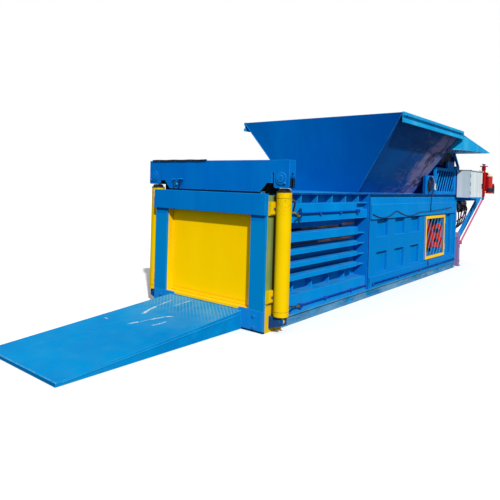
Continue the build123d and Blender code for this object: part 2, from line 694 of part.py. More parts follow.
def window_guard():
    """Welded frame of the window guard with its hinge knuckles."""
    face = RIB_FACE + GATE_CLEARANCE
    frame = side_block(-1, WINDOW_START, WINDOW_END, face, face + WINDOW_THICKNESS,
                       WINDOW_BOTTOM, WINDOW_TOP)
    frame -= side_block(-1, WINDOW_START + WINDOW_BAR, WINDOW_END - WINDOW_BAR,
                        face - 1, face + WINDOW_THICKNESS + 1,
                        WINDOW_BOTTOM + WINDOW_BAR, WINDOW_TOP - WINDOW_BAR)
    pieces = [frame]
    for height in HINGE_HEIGHTS:
        pieces.append(round_bar((HINGE_X, -HINGE_OUT, height), (0, 0, 1), 40, HINGE_RADIUS))
        pieces.append(side_block(-1, WINDOW_END - 4, HINGE_X, HINGE_OUT - 4, HINGE_OUT + 4,
                                 height, height + 40))
    guard = join(*pieces)
    for height in HINGE_HEIGHTS:
        guard -= round_bar((HINGE_X, -HINGE_OUT, height - 1), (0, 0, 1), 42,
                           HINGE_PIN_RADIUS + RUNNING_GAP)
    return guard


def window_bars():
    """Leaning flat bars welded inside the window guard's frame."""
    face = RIB_FACE + GATE_CLEARANCE
    low = WINDOW_BOTTOM + WINDOW_BAR
    high = WINDOW_TOP - WINDOW_BAR
    left = WINDOW_START + WINDOW_BAR
    right = WINDOW_END - WINDOW_BAR
    shift = (high - low) * tan(radians(GUARD_BAR_LEAN))
    field = side_block(-1, left, right, face + 6, face + 14, low, high)
    bars = []
    pitch = 158
    for index in range(8):
        foot = left - 330 + index * pitch
        bar = side_plate([(foot, low), (foot + 34, low), (foot + 34 + shift, high),
                          (foot + shift, high)], face + 6, face + 14, -1)
        bars.append(bar & field)
    return group(*bars)


def window_hinges():
    """Fixed hinge knuckles with their pins, on the body side."""
    pieces = []
    for height in HINGE_HEIGHTS:
        hinge = []
        for low in (height - 31, height + 41):
            hinge.append(round_bar((HINGE_X, -HINGE_OUT, low), (0, 0, 1), 30, HINGE_RADIUS))
            hinge.append(side_block(-1, HINGE_X, HINGE_X + 50, RIB_FACE, HINGE_OUT, low, low + 30))
        hinge.append(round_bar((HINGE_X, -HINGE_OUT, height - 31), (0, 0, 1), 102, HINGE_PIN_RADIUS))
        pieces.append(join(*hinge))
    return group(*pieces)


# Hopper

def funnel(inset):
    """Solid of the hopper's taper, moved inwards by a sheet thickness."""
    base = Pos(THROAT_START + THROAT_LENGTH / 2, 0, BODY_HEIGHT) * Rectangle(
        THROAT_LENGTH + 2 * HOPPER_SHEET - 2 * inset, THROAT_WIDTH + 2 * HOPPER_SHEET - 2 * inset)
    mouth = Pos(HOPPER_START + HOPPER_LENGTH / 2, 0, HOPPER_TOP) * Rectangle(
        HOPPER_LENGTH - 2 * inset, HOPPER_WIDTH - 2 * inset)
    return loft([base.faces()[0], mouth.faces()[0]])


def hopper_rear(height):
    """Place of the hopper's rear sheet, on its outside, at a height."""
    share = (height - BODY_HEIGHT) / HOPPER_HEIGHT
    low = THROAT_END + HOPPER_SHEET
    return low + share * (HOPPER_END - low)


def hopper_shell():
    """Four tapered sheets welded into one funnel, with an angle for the apron behind."""
    shell = funnel(0) - funnel(HOPPER_SHEET)
    angle = block(hopper_rear(APRON_BASE) - 20, APRON_START, -HALF_HOPPER + 120, HALF_HOPPER - 120,
                  APRON_BASE - HOPPER_SHEET, APRON_BASE)
    return shell + (angle - funnel(0))


def hopper_rim():
    """Folded rim along each long edge: recessed face between a top band and a lower bead."""
    rims = []
    for side in SIDES.values():
        out = HALF_HOPPER
        start = HOPPER_START + 6
        low = HOPPER_TOP - RIM_HEIGHT
        face = side_block(side, start, HOPPER_END, out, out + 6, low, HOPPER_TOP)
        bead = side_block(side, start, HOPPER_END, out + 6, out + RIM_BEAD, low, low + 42)
        band = side_block(side, start, HOPPER_END, out + 6, out + RIM_BAND, HOPPER_TOP - 40, HOPPER_TOP)
        lip = side_block(side, start, HOPPER_END, out - HOPPER_SHEET, out + RIM_BAND,
                         HOPPER_TOP, HOPPER_TOP + 6)
        rims.append(join(face, bead, band, lip))
    return group(*rims)


def apron_underside(x):
    """Height of the underside of the apron's rising floor sheet."""
    return APRON_BASE + APRON_RISE * (x - APRON_START) / (APRON_END - APRON_START)


def rear_apron():
    """Feed apron behind the hopper: a long floor sheet with tapering side wings."""
    front = APRON_START
    base = APRON_BASE
    tip = apron_underside(APRON_END)
    floor = side_plate([(front - 20, base), (front, base), (APRON_END, tip), (APRON_END, tip + 6),
                        (front, base + 6), (front - 20, base + 6)], -HALF_HOPPER + 6, HALF_HOPPER - 6)
    pieces = [floor]
    for side in SIDES.values():
        wing = [(front, base - 1), (front + 70, HOPPER_TOP - 47), (APRON_END, tip + 10),
                (APRON_END, tip - 2)]
        pieces.append(side_plate(wing, HALF_HOPPER - 6, HALF_HOPPER, side))
    return join(*pieces)


# Ram and main cylinder

def ram_box():
    """Hollow ram: grooved face plate, skins, rear ring and the lugs for the rod."""
    outer = block(RAM_FACE, RAM_END, -RAM_HALF_WIDTH, RAM_HALF_WIDTH, RAM_BOTTOM, RAM_TOP)
    hollow = block(RAM_FACE + RAM_FACE_PLATE, RAM_END + 1, -RAM_HALF_WIDTH + RAM_PLATE,
                   RAM_HALF_WIDTH - RAM_PLATE, RAM_BOTTOM + RAM_PLATE, RAM_TOP - RAM_PLATE)
    ram = outer - hollow
    for bottom in tie_slot_bottoms():
        ram -= block(RAM_FACE - 1, RAM_FACE + 30, -RAM_HALF_WIDTH - 1, RAM_HALF_WIDTH + 1,
                     bottom, bottom + TIE_SLOT_HEIGHT)
    ram -= block(RAM_FACE - 1, RAM_FACE + 100, -RAM_HALF_WIDTH - 1, RAM_HALF_WIDTH + 1,
                 RAM_TOP - 22, RAM_TOP + 1)
    lug_back = RAM_FACE + RAM_FACE_PLATE + 190
    pin_x = RAM_FACE + RAM_FACE_PLATE + 110
    for side in (-1, 1):
        lug = side_block(side, RAM_FACE + RAM_FACE_PLATE - 5, lug_back, 62, 102,
                         MAIN_AXIS_HEIGHT - 90, MAIN_AXIS_HEIGHT + 90)
        ram += lug
    ram -= round_bar((pin_x, -110, MAIN_AXIS_HEIGHT), (0, 1, 0), 220, MAIN_PIN_RADIUS + RUNNING_GAP)
    shoes = [side_block(side, RAM_FACE + 60, RAM_END, 380, 540, SILL_HEIGHT + RUNNING_GAP, RAM_BOTTOM)
             for side in (-1, 1)]
    return join(ram, *shoes)


def ram_knife():
    """Shear knife in the rebate along the ram's top front edge."""
    return block(RAM_FACE, RAM_FACE + 99.7, -RAM_HALF_WIDTH, RAM_HALF_WIDTH, RAM_TOP - 22, RAM_TOP)


def rod_pin():
    """Pin that joins the rod's eye to the ram's lugs."""
    pin_x = RAM_FACE + RAM_FACE_PLATE + 110
    return round_bar((pin_x, -104, MAIN_AXIS_HEIGHT), (0, 1, 0), 208, MAIN_PIN_RADIUS)


def main_rod():
    """Main rod with its eye in front and the piston inside the barrel."""
    pin_x = RAM_FACE + RAM_FACE_PLATE + 110
    piston_start = MAIN_BARREL_START + 110
    eye = round_bar((pin_x, -60, MAIN_AXIS_HEIGHT), (0, 1, 0), 120, 74)
    shaft = round_bar((pin_x + 40, 0, MAIN_AXIS_HEIGHT), (1, 0, 0),
                      piston_start - pin_x - 40, MAIN_ROD_RADIUS)
    piston = round_bar((piston_start, 0, MAIN_AXIS_HEIGHT), (1, 0, 0), 90, MAIN_BORE - RUNNING_GAP)
    hole = round_bar((pin_x, -70, MAIN_AXIS_HEIGHT), (0, 1, 0), 140, MAIN_PIN_RADIUS + RUNNING_GAP)
    return join(eye, shaft, piston) - hole


MAIN_BARREL_LENGTH = RAM_STROKE + 260


def main_barrel():
    """Long barrel with a flanged gland in front and a capped rear end."""
    start = MAIN_BARREL_START
    axis = (1, 0, 0)
    barrel = tube((start, 0, MAIN_AXIS_HEIGHT), axis, MAIN_BARREL_LENGTH,
                  MAIN_BARREL_RADIUS, MAIN_BORE)
    head = tube((start, 0, MAIN_AXIS_HEIGHT), axis, 70, MAIN_BARREL_RADIUS + 30,
                MAIN_ROD_RADIUS + RUNNING_GAP)
    cap = round_bar((start + MAIN_BARREL_LENGTH - 50, 0, MAIN_AXIS_HEIGHT), axis, 50,
                    MAIN_BARREL_RADIUS)
    port = round_bar((start + MAIN_BARREL_LENGTH - 130, 0, MAIN_AXIS_HEIGHT + MAIN_BORE + 4),
                     (0, 0, 1), 46, 26)
    return join(barrel, head, cap, port)


FLANGE_PLATE = 38
FLANGE_DROP = 365
FLANGE_HALF = 405
BRACKET_LENGTH = 455
BRACKET_INNER = 433
BRACKET_OUTER = 555


def cylinder_flange():
    """Flange collar that holds the main barrel on the bulkhead, with a bracket at each side."""
    low = MAIN_AXIS_HEIGHT - FLANGE_DROP
    shoulder = low + 370
    high = MAIN_AXIS_HEIGHT + 220
    start = BULKHEAD_START - FLANGE_PLATE
    outline = [(-FLANGE_HALF, low), (-FLANGE_HALF, shoulder), (-300, high), (300, high),
               (FLANGE_HALF, shoulder), (FLANGE_HALF, low)]
    plate = front_plate(outline, start, BULKHEAD_START)
    plate -= round_bar((start - 1, 0, MAIN_AXIS_HEIGHT), (1, 0, 0), FLANGE_PLATE + 2,
                       MAIN_BARREL_RADIUS + RUNNING_GAP)
    front = BULKHEAD_START - BRACKET_LENGTH
    bracket = [(front, MAIN_AXIS_HEIGHT - 325), (front, MAIN_AXIS_HEIGHT + 30),
               (BULKHEAD_START, MAIN_AXIS_HEIGHT + 70), (BULKHEAD_START, MAIN_AXIS_HEIGHT - 195)]
    brackets = [side_plate(bracket, BRACKET_INNER, BRACKET_OUTER, side) for side in SIDES.values()]
    return group(plate, *brackets)


def cylinder_cradle():
    """Stand under the rear end of the main barrel."""
    x0 = MAIN_BARREL_START + MAIN_BARREL_LENGTH - 420
    x1 = x0 + 160
    foot = block(x0 - 60, x1 + 60, -190, 190, 0, 16)
    leg = block(x0 + 30, x1 - 30, -120, 120, 16, MAIN_AXIS_HEIGHT - 60)
    saddle = block(x0, x1, -170, 170, MAIN_AXIS_HEIGHT - 170, MAIN_AXIS_HEIGHT - 10)
    bed = round_bar((x0 - 70, 0, MAIN_AXIS_HEIGHT), (1, 0, 0), 300,
                    MAIN_BARREL_RADIUS + RUNNING_GAP)
    cradle = join(foot, leg, saddle) - bed
    middle = (x0 + x1) / 2
    for x in (middle - 110, middle + 110):
        for y in (-160, 160):
            cradle -= round_bar((x, y, -1), (0, 0, 1), 18, ANCHOR_HOLE_RADIUS)
    return cradle


# Rear platform

def rear_platform():
    """Channel-edged platform behind the body on two legs and two diagonal braces."""
    low = PLATFORM_TOP - PLATFORM_DEPTH
    deck = block(BODY_END, PLATFORM_END, -HALF_FRAME, HALF_FRAME, low, PLATFORM_TOP)
    deck -= block(BODY_END + 10, PLATFORM_END - 10, -HALF_FRAME + 10, HALF_FRAME - 10,
                  low - 1, PLATFORM_TOP - 8)
    shelf = side_block(-1, BODY_END, SHELF_END, HALF_FRAME, SHELF_RIGHT,
                       PLATFORM_TOP - 20, PLATFORM_TOP)
    pieces = [deck, shelf]
    for x in (BODY_END + 120, SHELF_END - 160):
        arm = front_plate([(-HALF_FRAME, low), (-HALF_FRAME, PLATFORM_TOP - 20),
                           (-SHELF_RIGHT + 30, PLATFORM_TOP - 20)], x, x + 40)
        pieces.append(arm)
    props = []
    for side in SIDES.values():
        brace = [(LEG_START + 100, LEG_HEIGHT - 112), (LEG_START + 100, LEG_HEIGHT - 6),
                 (PLATFORM_END - 270, low), (PLATFORM_END - 20, low)]
        props.append(side_plate(brace, HALF_FRAME - 50, HALF_FRAME, side))
        props.append(side_block(side, LEG_START, LEG_START + 100, HALF_FRAME - 100, HALF_FRAME,
                                0, LEG_HEIGHT))
        props.append(side_block(side, BODY_END, LEG_START, HALF_FRAME - 80, HALF_FRAME - 20,
                                LEG_HEIGHT - 90, LEG_HEIGHT - 10))
    return group(join(*pieces), *props)


def oil_tank():
    """Tank with a bolted lid and a round filler."""
    x0 = BODY_END + 110
    x1 = PLATFORM_END - 90
    top = PLATFORM_TOP + TANK_HEIGHT
    body = block(x0, x1, TANK_INNER, TANK_OUTER, PLATFORM_TOP, top)
    body = fillet(body.edges().filter_by(Axis.Z), 30)
    lid = block(x0 - 15, x1 + 15, TANK_INNER - 15, TANK_OUTER + 15, top, top + 10)
    filler = round_bar((x0 + 180, TANK_INNER + 190, top + 10), (0, 0, 1), 50, 45)
    return join(body, lid, filler)


MOTOR_Y = -330
MOTOR_AXIS = PLATFORM_TOP + 190
MOTOR_START = BODY_END + 130


def drive_motor():
    """Foot-mounted motor with cooling fins, a fan cowl and a terminal box."""
    body = round_bar((MOTOR_START, MOTOR_Y, MOTOR_AXIS), (1, 0, 0), 480, 140)
    cowl = round_bar((MOTOR_START, MOTOR_Y, MOTOR_AXIS), (1, 0, 0), 90, 150)
    end = round_bar((MOTOR_START + 470, MOTOR_Y, MOTOR_AXIS), (1, 0, 0), 24, 165)
    foot = block(MOTOR_START + 140, MOTOR_START + 420, MOTOR_Y - 160, MOTOR_Y + 160,
                 PLATFORM_TOP, PLATFORM_TOP + 20)
    stool = block(MOTOR_START + 160, MOTOR_START + 400, MOTOR_Y - 110, MOTOR_Y + 110,
                  PLATFORM_TOP + 20, MOTOR_AXIS - 80)
    box = block(MOTOR_START + 190, MOTOR_START + 340, MOTOR_Y - 70, MOTOR_Y + 70,
                MOTOR_AXIS + 110, MOTOR_AXIS + 200)
    pieces = [body, cowl, end, foot, stool, box]
    for index in range(12):
        angle = index * 30 + 15
        fin = Pos(0, 0, 0) * block(MOTOR_START + 100, MOTOR_START + 465, -4, 4, 130, 154)
        fin = Rot(angle, 0, 0) * fin
        pieces.append(Pos(0, MOTOR_Y, MOTOR_AXIS) * fin)
    return join(*pieces)


def oil_pump():
    """Bell housing with the gear pump behind it."""
    start = MOTOR_START + 494
    bell = round_bar((start, MOTOR_Y, MOTOR_AXIS), (1, 0, 0), 120, 120)
    flange = round_bar((start + 120, MOTOR_Y, MOTOR_AXIS), (1, 0, 0), 20, 90)
    pump = block(start + 140, start + 300, MOTOR_Y - 60, MOTOR_Y + 60, MOTOR_AXIS - 80, MOTOR_AXIS + 80)
    pump = fillet(pump.edges().filter_by(Axis.X), 25)
    foot = block(start + 150, start + 290, MOTOR_Y - 40, MOTOR_Y + 40, PLATFORM_TOP, MOTOR_AXIS - 70)
    return join(bell, flange, pump, foot)


# Electrical cabinet

CABINET_X0 = SHELF_END - CABINET_LENGTH - 10
CABINET_OUT = SHELF_RIGHT - 30
CABINET_BACK = CABINET_OUT - DOOR_THICKNESS - CABINET_DEPTH
CABINET_X1 = CABINET_X0 + CABINET_LENGTH
CABINET_TOP = PLATFORM_TOP + CABINET_HEIGHT
BUTTON_Y = -(CABINET_BACK + CABINET_DEPTH / 2)
STOP_HEIGHT = CABINET_TOP - 120
START_HEIGHT = CABINET_TOP - 210
ISOLATOR_HEIGHT = CABINET_TOP - 330


def cabinet_box():
    """Sheet steel cabinet, open towards the door, with the hinge pins and a drip edge."""
    face = CABINET_OUT - DOOR_THICKNESS - GATE_CLEARANCE
    shell = side_block(-1, CABINET_X0, CABINET_X1, CABINET_BACK, face, PLATFORM_TOP, CABINET_TOP)
    shell -= side_block(-1, CABINET_X0 + 3, CABINET_X1 - 3, CABINET_BACK + 3, face + 1,
                        PLATFORM_TOP + 3, CABINET_TOP - 3)
    shell += side_block(-1, CABINET_X0, CABINET_X1, CABINET_BACK, face, PLATFORM_TOP, PLATFORM_TOP + 3)
    mounting = side_block(-1, CABINET_X0 + 60, CABINET_X1 - 60, CABINET_BACK + 3, CABINET_BACK + 30,
                          PLATFORM_TOP + 60, CABINET_TOP - 60)
    drip = side_block(-1, CABINET_X0 - 8, CABINET_X1 + 8, CABINET_BACK, CABINET_OUT + 10,
                      CABINET_TOP, CABINET_TOP + 4)
    pieces = [shell, mounting, drip]
    for height in (STOP_HEIGHT, START_HEIGHT, ISOLATOR_HEIGHT):
        radius = 26 if height == STOP_HEIGHT else 20
        pieces.append(round_bar((CABINET_X1, BUTTON_Y, height), (1, 0, 0), 5, radius))
    box = join(*pieces)
    for height in (STOP_HEIGHT, START_HEIGHT, ISOLATOR_HEIGHT):
        box -= round_bar((CABINET_X1 - 4, BUTTON_Y, height), (1, 0, 0), 12, 11 + RUNNING_GAP)
    return box


def cabinet_door():
    """Folded door with two raised panels."""
    door = side_block(-1, CABINET_X0 + 1, CABINET_X1 - 1, CABINET_OUT - DOOR_THICKNESS, CABINET_OUT,
                      PLATFORM_TOP + 6, CABINET_TOP - 1)
    door -= side_block(-1, CABINET_X0 + 4, CABINET_X1 - 4, CABINET_OUT - DOOR_THICKNESS - 1,
                       CABINET_OUT - 3, PLATFORM_TOP + 9, CABINET_TOP - 4)
    hole = round_bar((CABINET_X1 - 45, -CABINET_OUT - 1, PLATFORM_TOP + CABINET_HEIGHT / 2), (0, 1, 0),
                     6, 9 + RUNNING_GAP)
    return door - hole


def door_handle():
    """Quarter-turn latch with a short grip."""
    y = -CABINET_OUT
    x = CABINET_X1 - 45
    z = PLATFORM_TOP + CABINET_HEIGHT / 2
    stem = round_bar((x, y + 16, z), (0, -1, 0), 24, 9)
    rose = round_bar((x, y - RUNNING_GAP, z), (0, -1, 0), 8, 16)
    grip = block(x - 9, x + 9, y - 24, y - 8, z - 80, z + 12)
    grip = fillet(grip.edges().filter_by(Axis.Y), 6)
    cam = block(x - 10, x + 10, y + 12, y + 15, z - 12, z + 12)
    return join(stem, rose, grip, cam)


def push_button(height, head_radius, head_length, reach):
    """Push button: a stem in the collar and a round head."""
    front = CABINET_X1 + 5
    stem = round_bar((front - 8, BUTTON_Y, height), (1, 0, 0), reach + 8, 11)
    head = round_bar((front + reach, BUTTON_Y, height), (1, 0, 0), head_length, head_radius)
    return join(stem, head)


def stop_button():
    """Mushroom stop button."""
    head = push_button(STOP_HEIGHT, 20, 14, 8)
    edge = head.faces().sort_by(Axis.X)[-1].edges()
    return fillet(edge, 5)


def start_button():
    """Flat start button."""
    return push_button(START_HEIGHT, 13, 5, 6)


def isolator_handle():
    """Rotary isolator with a bar grip."""
    front = CABINET_X1 + 5
    stem = round_bar((front - 8, BUTTON_Y, ISOLATOR_HEIGHT), (1, 0, 0), 14, 11)
    disc = round_bar((front + RUNNING_GAP, BUTTON_Y, ISOLATOR_HEIGHT), (1, 0, 0), 8, 28)
    grip = block(front + 8, front + 28, BUTTON_Y - 8, BUTTON_Y + 8, ISOLATOR_HEIGHT - 26,
                 ISOLATOR_HEIGHT + 26)
    return join(stem, disc, grip)


# Valve post and filter

POST_RADIUS = 24
VALVE_X = SHELF_END + 150
VALVE_Y = -SHELF_RIGHT + 50
VALVE_TOP = PLATFORM_TOP + 625
POST_BOTTOM = PLATFORM_TOP - 35


def standpipe():
    """Valve post beside the shelf's end, with a stay pipe down to the rear leg."""
    arm = block(SHELF_END, VALVE_X, VALVE_Y - 25, VALVE_Y + 25, PLATFORM_TOP - 20, PLATFORM_TOP)
    post = round_bar((VALVE_X, VALVE_Y, POST_BOTTOM), (0, 0, 1), VALVE_TOP - 10 - POST_BOTTOM, POST_RADIUS)
    body = round_bar((VALVE_X, VALVE_Y, VALVE_TOP - 50), (0, 0, 1), 50, 38)
    spout = round_bar((VALVE_X, VALVE_Y, VALVE_TOP - 120), (1, 0, 0), 130, 20)
    bore = round_bar((VALVE_X, VALVE_Y, VALVE_TOP - 30), (0, 0, 1), 40, 12 + RUNNING_GAP)
    top = Vector(VALVE_X, VALVE_Y, POST_BOTTOM + 10)
    low = Vector(LEG_START + 62, -HALF_FRAME - 22, LEG_HEIGHT - 190)
    stay = round_bar(tuple(top), tuple(low - top), (low - top).length, 17)
    ball = Pos(*top) * Sphere(POST_RADIUS)
    socket = side_block(-1, LEG_START + 30, LEG_START + 96, HALF_FRAME, HALF_FRAME + 44,
                        LEG_HEIGHT - 230, LEG_HEIGHT - 160)
    return join(arm, post, body, spout, ball, stay, socket) - bore


def valve_handle():
    """T handle of the valve post."""
    stem = round_bar((VALVE_X, VALVE_Y, VALVE_TOP - 25), (0, 0, 1), 80, 12)
    bar = round_bar((VALVE_X - 75, VALVE_Y, VALVE_TOP + 50), (1, 0, 0), 150, 15)
    collar = round_bar((VALVE_X, VALVE_Y, VALVE_TOP + RUNNING_GAP), (0, 0, 1), 12, 20)
    return join(stem, bar, collar)


FILTER_X = VALVE_X + 70
FILTER_Y = VALVE_Y - 100
FILTER_RADIUS = 56
FILTER_BOTTOM = PLATFORM_TOP + 111
FILTER_HEIGHT = 340


def oil_filter():
    """Filter canister with a domed cap, held on the post by a bracket plate."""
    plate = block(VALVE_X - 30, VALVE_X + 150, FILTER_Y - 70, VALVE_Y + 30,
                  FILTER_BOTTOM - 16, FILTER_BOTTOM)
    plate -= round_bar((VALVE_X, VALVE_Y, FILTER_BOTTOM - 20), (0, 0, 1), 40, POST_RADIUS)
    back = block(VALVE_X + 138, VALVE_X + 150, FILTER_Y - 70, FILTER_Y + 60,
                 FILTER_BOTTOM, FILTER_BOTTOM + 180)
    can = round_bar((FILTER_X, FILTER_Y, FILTER_BOTTOM), (0, 0, 1), FILTER_HEIGHT, FILTER_RADIUS)
    can = fillet(can.edges().filter_by(GeomType.CIRCLE).sort_by(Axis.Z)[-1], 12)
    cap = round_bar((FILTER_X, FILTER_Y, FILTER_BOTTOM + FILTER_HEIGHT), (0, 0, 1), 30, 40)
    cap = fillet(cap.edges().filter_by(GeomType.CIRCLE).sort_by(Axis.Z)[-1], 8)
    return join(plate, back, can, cap)


# Upper guards and cooler

GUARD_FRONT = 4910
GUARD_OUT = HALF_FRAME
GUARD_DEEP = 36
GUARD_TOP = BODY_HEIGHT + 475
CORNER_REACH = 150
CORNER_TOP = BODY_HEIGHT + 540
PARTITION_X = 6052
GUARD_REAR = BULKHEAD_START - 10
LEG_TOP_X = GUARD_REAR - 130


def upper_guard(side):
    """Guard of leaning bars over the rear deck, with a corner post and the apron's leg."""
    inner = GUARD_OUT - GUARD_DEEP
    rear = GUARD_REAR - 130
    low = BODY_HEIGHT + 50
    high = GUARD_TOP - 50
    frame = side_block(side, GUARD_FRONT, GUARD_REAR, inner, GUARD_OUT, BODY_HEIGHT, GUARD_TOP)
    frame -= side_block(side, GUARD_FRONT + 50, rear, inner - 1, GUARD_OUT + 1, low, high)
    field = side_block(side, GUARD_FRONT + 50, rear, inner + 10, inner + 20, low, high)
    pieces = [frame]
    shift = (high - low) * tan(radians(GUARD_BAR_LEAN))
    for index in range(9):
        foot = GUARD_FRONT - 150 + index * 132
        bar = side_plate([(foot, low), (foot + 30, low), (foot + 30 + shift, high),
                          (foot + shift, high)], inner + 10, inner + 20, side)
        pieces.append(bar & field)
    corner = side_block(side, GUARD_REAR - 60, GUARD_REAR + CORNER_REACH, inner, GUARD_OUT,
                        BODY_HEIGHT, CORNER_TOP)
    pieces.append(corner)
    pieces.append(side_block(side, BODY_END, GUARD_REAR + CORNER_REACH, inner, GUARD_OUT,
                             PLATFORM_TOP, BODY_HEIGHT))
    leg_top = apron_underside(LEG_TOP_X)
    leg = side_plate([(GUARD_REAR + CORNER_REACH - 70, CORNER_TOP), (GUARD_REAR + CORNER_REACH, CORNER_TOP),
                      (LEG_TOP_X, leg_top), (LEG_TOP_X - 60, apron_underside(LEG_TOP_X - 60))],
                     inner, GUARD_OUT, side)
    pieces.append(leg)
    pieces.append(side_block(side, GUARD_FRONT + 650, GUARD_FRONT + 1010, inner, GUARD_OUT,
                             GUARD_TOP, GUARD_TOP + 130))
    return join(*pieces)


def upper_guards():
    """The two upper guards, with a partition sheet across the deck between them."""
    inner = GUARD_OUT - GUARD_DEEP
    partition = block(PARTITION_X, PARTITION_X + 6, -inner, inner, BODY_HEIGHT, BODY_HEIGHT + 730)
    return join(*[upper_guard(side) for side in SIDES.values()], partition)


COOLER_X = 4640
COOLER_Z = BODY_HEIGHT + 160
COOLER_RADIUS = 145
COOLER_INNER = 786


def cooler_housing():
    """Shallow cooler housing with a round air opening, a ring and the fan's spider."""
    x0 = COOLER_X - 210
    x1 = COOLER_X + 220
    shell = side_block(-1, x0, x1, COOLER_INNER, HALF_FRAME, BODY_HEIGHT, COOLER_Z + 156)
    shell -= round_bar((COOLER_X, -HALF_FRAME - 1, COOLER_Z), (0, 1, 0), HALF_FRAME - COOLER_INNER - 7, COOLER_RADIUS)
    ring = tube((COOLER_X, -HALF_FRAME - 8, COOLER_Z), (0, 1, 0), 12, COOLER_RADIUS + 11, COOLER_RADIUS)
    boss = round_bar((COOLER_X, -COOLER_INNER, COOLER_Z), (0, -1, 0), 26, 12)
    box = side_block(-1, COOLER_X + 160, x1, HALF_FRAME, HALF_FRAME + 24,
                     BODY_HEIGHT + 74, BODY_HEIGHT + 185)
    return join(shell, ring, boss, box)


def cooler_fan():
    """Fan rotor with seven flat blades on a hub."""
    back = COOLER_INNER + 8 + RUNNING_GAP
    hub = round_bar((COOLER_X, -back, COOLER_Z), (0, -1, 0), 30, 32)
    hub -= round_bar((COOLER_X, -back + 1, COOLER_Z), (0, -1, 0), 20, 12 + RUNNING_GAP)
    pieces = [hub]
    for index in range(7):
        blade = block(24, COOLER_RADIUS - 8, -3, 3, -24, 24)
        blade = Rot(0, 0, 0) * (Rot(22, 0, 0) * blade)
        blade = Rot(0, index * 360 / 7, 0) * blade
        pieces.append(Pos(COOLER_X, -back - 15, COOLER_Z) * blade)
    return join(*pieces)


# Pipes and hoses

PIPE_RADIUS = 11
UPPER_PIPE_Z = ROOF_BOTTOM
LOWER_PIPE_Z = 173


def pipe_clip(side, x, out, z):
    """Block clip that holds a pipe on the face at out."""
    return side_block(side, x - 16, x + 16, out, out + 2 * PIPE_RADIUS + 8, z - 18, z + 18)


def pressure_pipes():
    """Rigid pipes along both sides with their clips and end blocks."""
    lines = []
    for side in SIDES.values():
        out = RIB_FACE + PIPE_RADIUS + 4
        last = FLANGE_START - 303
        upper = round_bar((640, side * out, UPPER_PIPE_Z), (1, 0, 0), last - 640, PIPE_RADIUS)
        ends = [side_block(side, x - 22, x + 22, RIB_FACE, RIB_FACE + 40,
                           UPPER_PIPE_Z - 24, UPPER_PIPE_Z + 24) for x in (630, last)]
        clips = [pipe_clip(side, 640 + share * (last - 640), RIB_FACE, UPPER_PIPE_Z)
                 for share in (0.32, 0.67)]
        lines.append(join(upper, *ends, *clips))
        lower = round_bar((690, side * out, LOWER_PIPE_Z), (1, 0, 0),
                          FLANGE_START - 690, PIPE_RADIUS)
        ends = [side_block(side, 668, 712, RIB_FACE, RIB_FACE + 40,
                           LOWER_PIPE_Z - 24, LOWER_PIPE_Z + 24)]
        clips = [pipe_clip(side, x, RIB_FACE, LOWER_PIPE_Z) for x in (1250, 1900)]
        lines.append(join(lower, *ends, *clips))
        out = HALF_FRAME + PIPE_RADIUS + 4
        rear = round_bar((BODY_START + 120, side * out, LOWER_PIPE_Z), (1, 0, 0),
                         BULKHEAD_START - BODY_START - 200, PIPE_RADIUS)
        first = BODY_START + 140
        clips = [pipe_clip(side, first + share * (BULKHEAD_START - 100 - first), HALF_FRAME,
                           LOWER_PIPE_Z) for share in (0, 0.25, 0.5, 0.75, 1)]
        lines.append(join(rear, *clips))
    return group(*lines)


HOSE_RADIUS = 10
CABLE_RADIUS = 7
CABLE_SPANS = [(2430, 1136, 3250, 1174, 80, 5), (3250, 1174, 4180, 1124, 72, 6),
               (4180, 1124, 5830, 1172, 14, 10)]


def swag_points():
    """Route of the cable under the rail: one sagging parabola between each two holds."""
    out = -HALF_FRAME - CABLE_RADIUS - RUNNING_GAP
    points = []
    for x0, z0, x1, z1, sag, count in CABLE_SPANS:
        for index in range(count):
            share = index / count
            points.append((x0 + share * (x1 - x0), out,
                           z0 + share * (z1 - z0) - 4 * sag * share * (1 - share)))
    points.append((CABLE_SPANS[-1][2], out, CABLE_SPANS[-1][3]))
    return points


def drop_points():
    """Route of the cable from the cooler's box over the deck's edge to the rail."""
    places = [(175, 838, 62), (136, 840, 32), (94, 845, 12), (66, 848.5, -18), (54, 848, -60),
              (50, 846, -106), (52, 842, -152), (58, 838.5, -198), (60, 837.3, -244)]
    return [(COOLER_X + ahead, -out, BODY_HEIGHT + rise) for ahead, out, rise in places]


def hydraulic_hoses():
    """Hoses from the cylinder ports to the pipe ends, and the cables on the right side."""
    lines = []
    radii = []
    port_x = CYLINDER_X + BARREL_BORE + 36
    top_port = BARREL_TOP - GLAND_LENGTH - 24
    low_port = BARREL_BOTTOM + 64
    for side in SIDES.values():
        y = side * CYLINDER_Y
        near = side * (RIB_FACE + 20)
        top_route = [(port_x, y, top_port), (port_x + 80, y, top_port),
                     (port_x + 154, y - side * 29, top_port - 32),
                     (port_x + 224, near + side * 26, UPPER_PIPE_Z + 31),
                     (port_x + 304, near, UPPER_PIPE_Z), (608, near, UPPER_PIPE_Z)]
        low_route = [(port_x, y, low_port), (port_x + 80, y, low_port),
                     (port_x + 166, y - side * 29, low_port - 15),
                     (port_x + 274, near + side * 26, LOWER_PIPE_Z + 14),
                     (port_x + 362, near, LOWER_PIPE_Z), (668, near, LOWER_PIPE_Z)]
        for route in (top_route, low_route):
            hose, smallest = hose_run(route, HOSE_RADIUS)
            lines.append(hose)
            radii.append(round(smallest))
    for route in (swag_points(), drop_points()):
        cable, smallest = hose_run(route, CABLE_RADIUS)
        lines.append(cable)
        radii.append(round(smallest))
    print("smallest hose and cable bends", radii)
    return group(*lines)


# Ramp

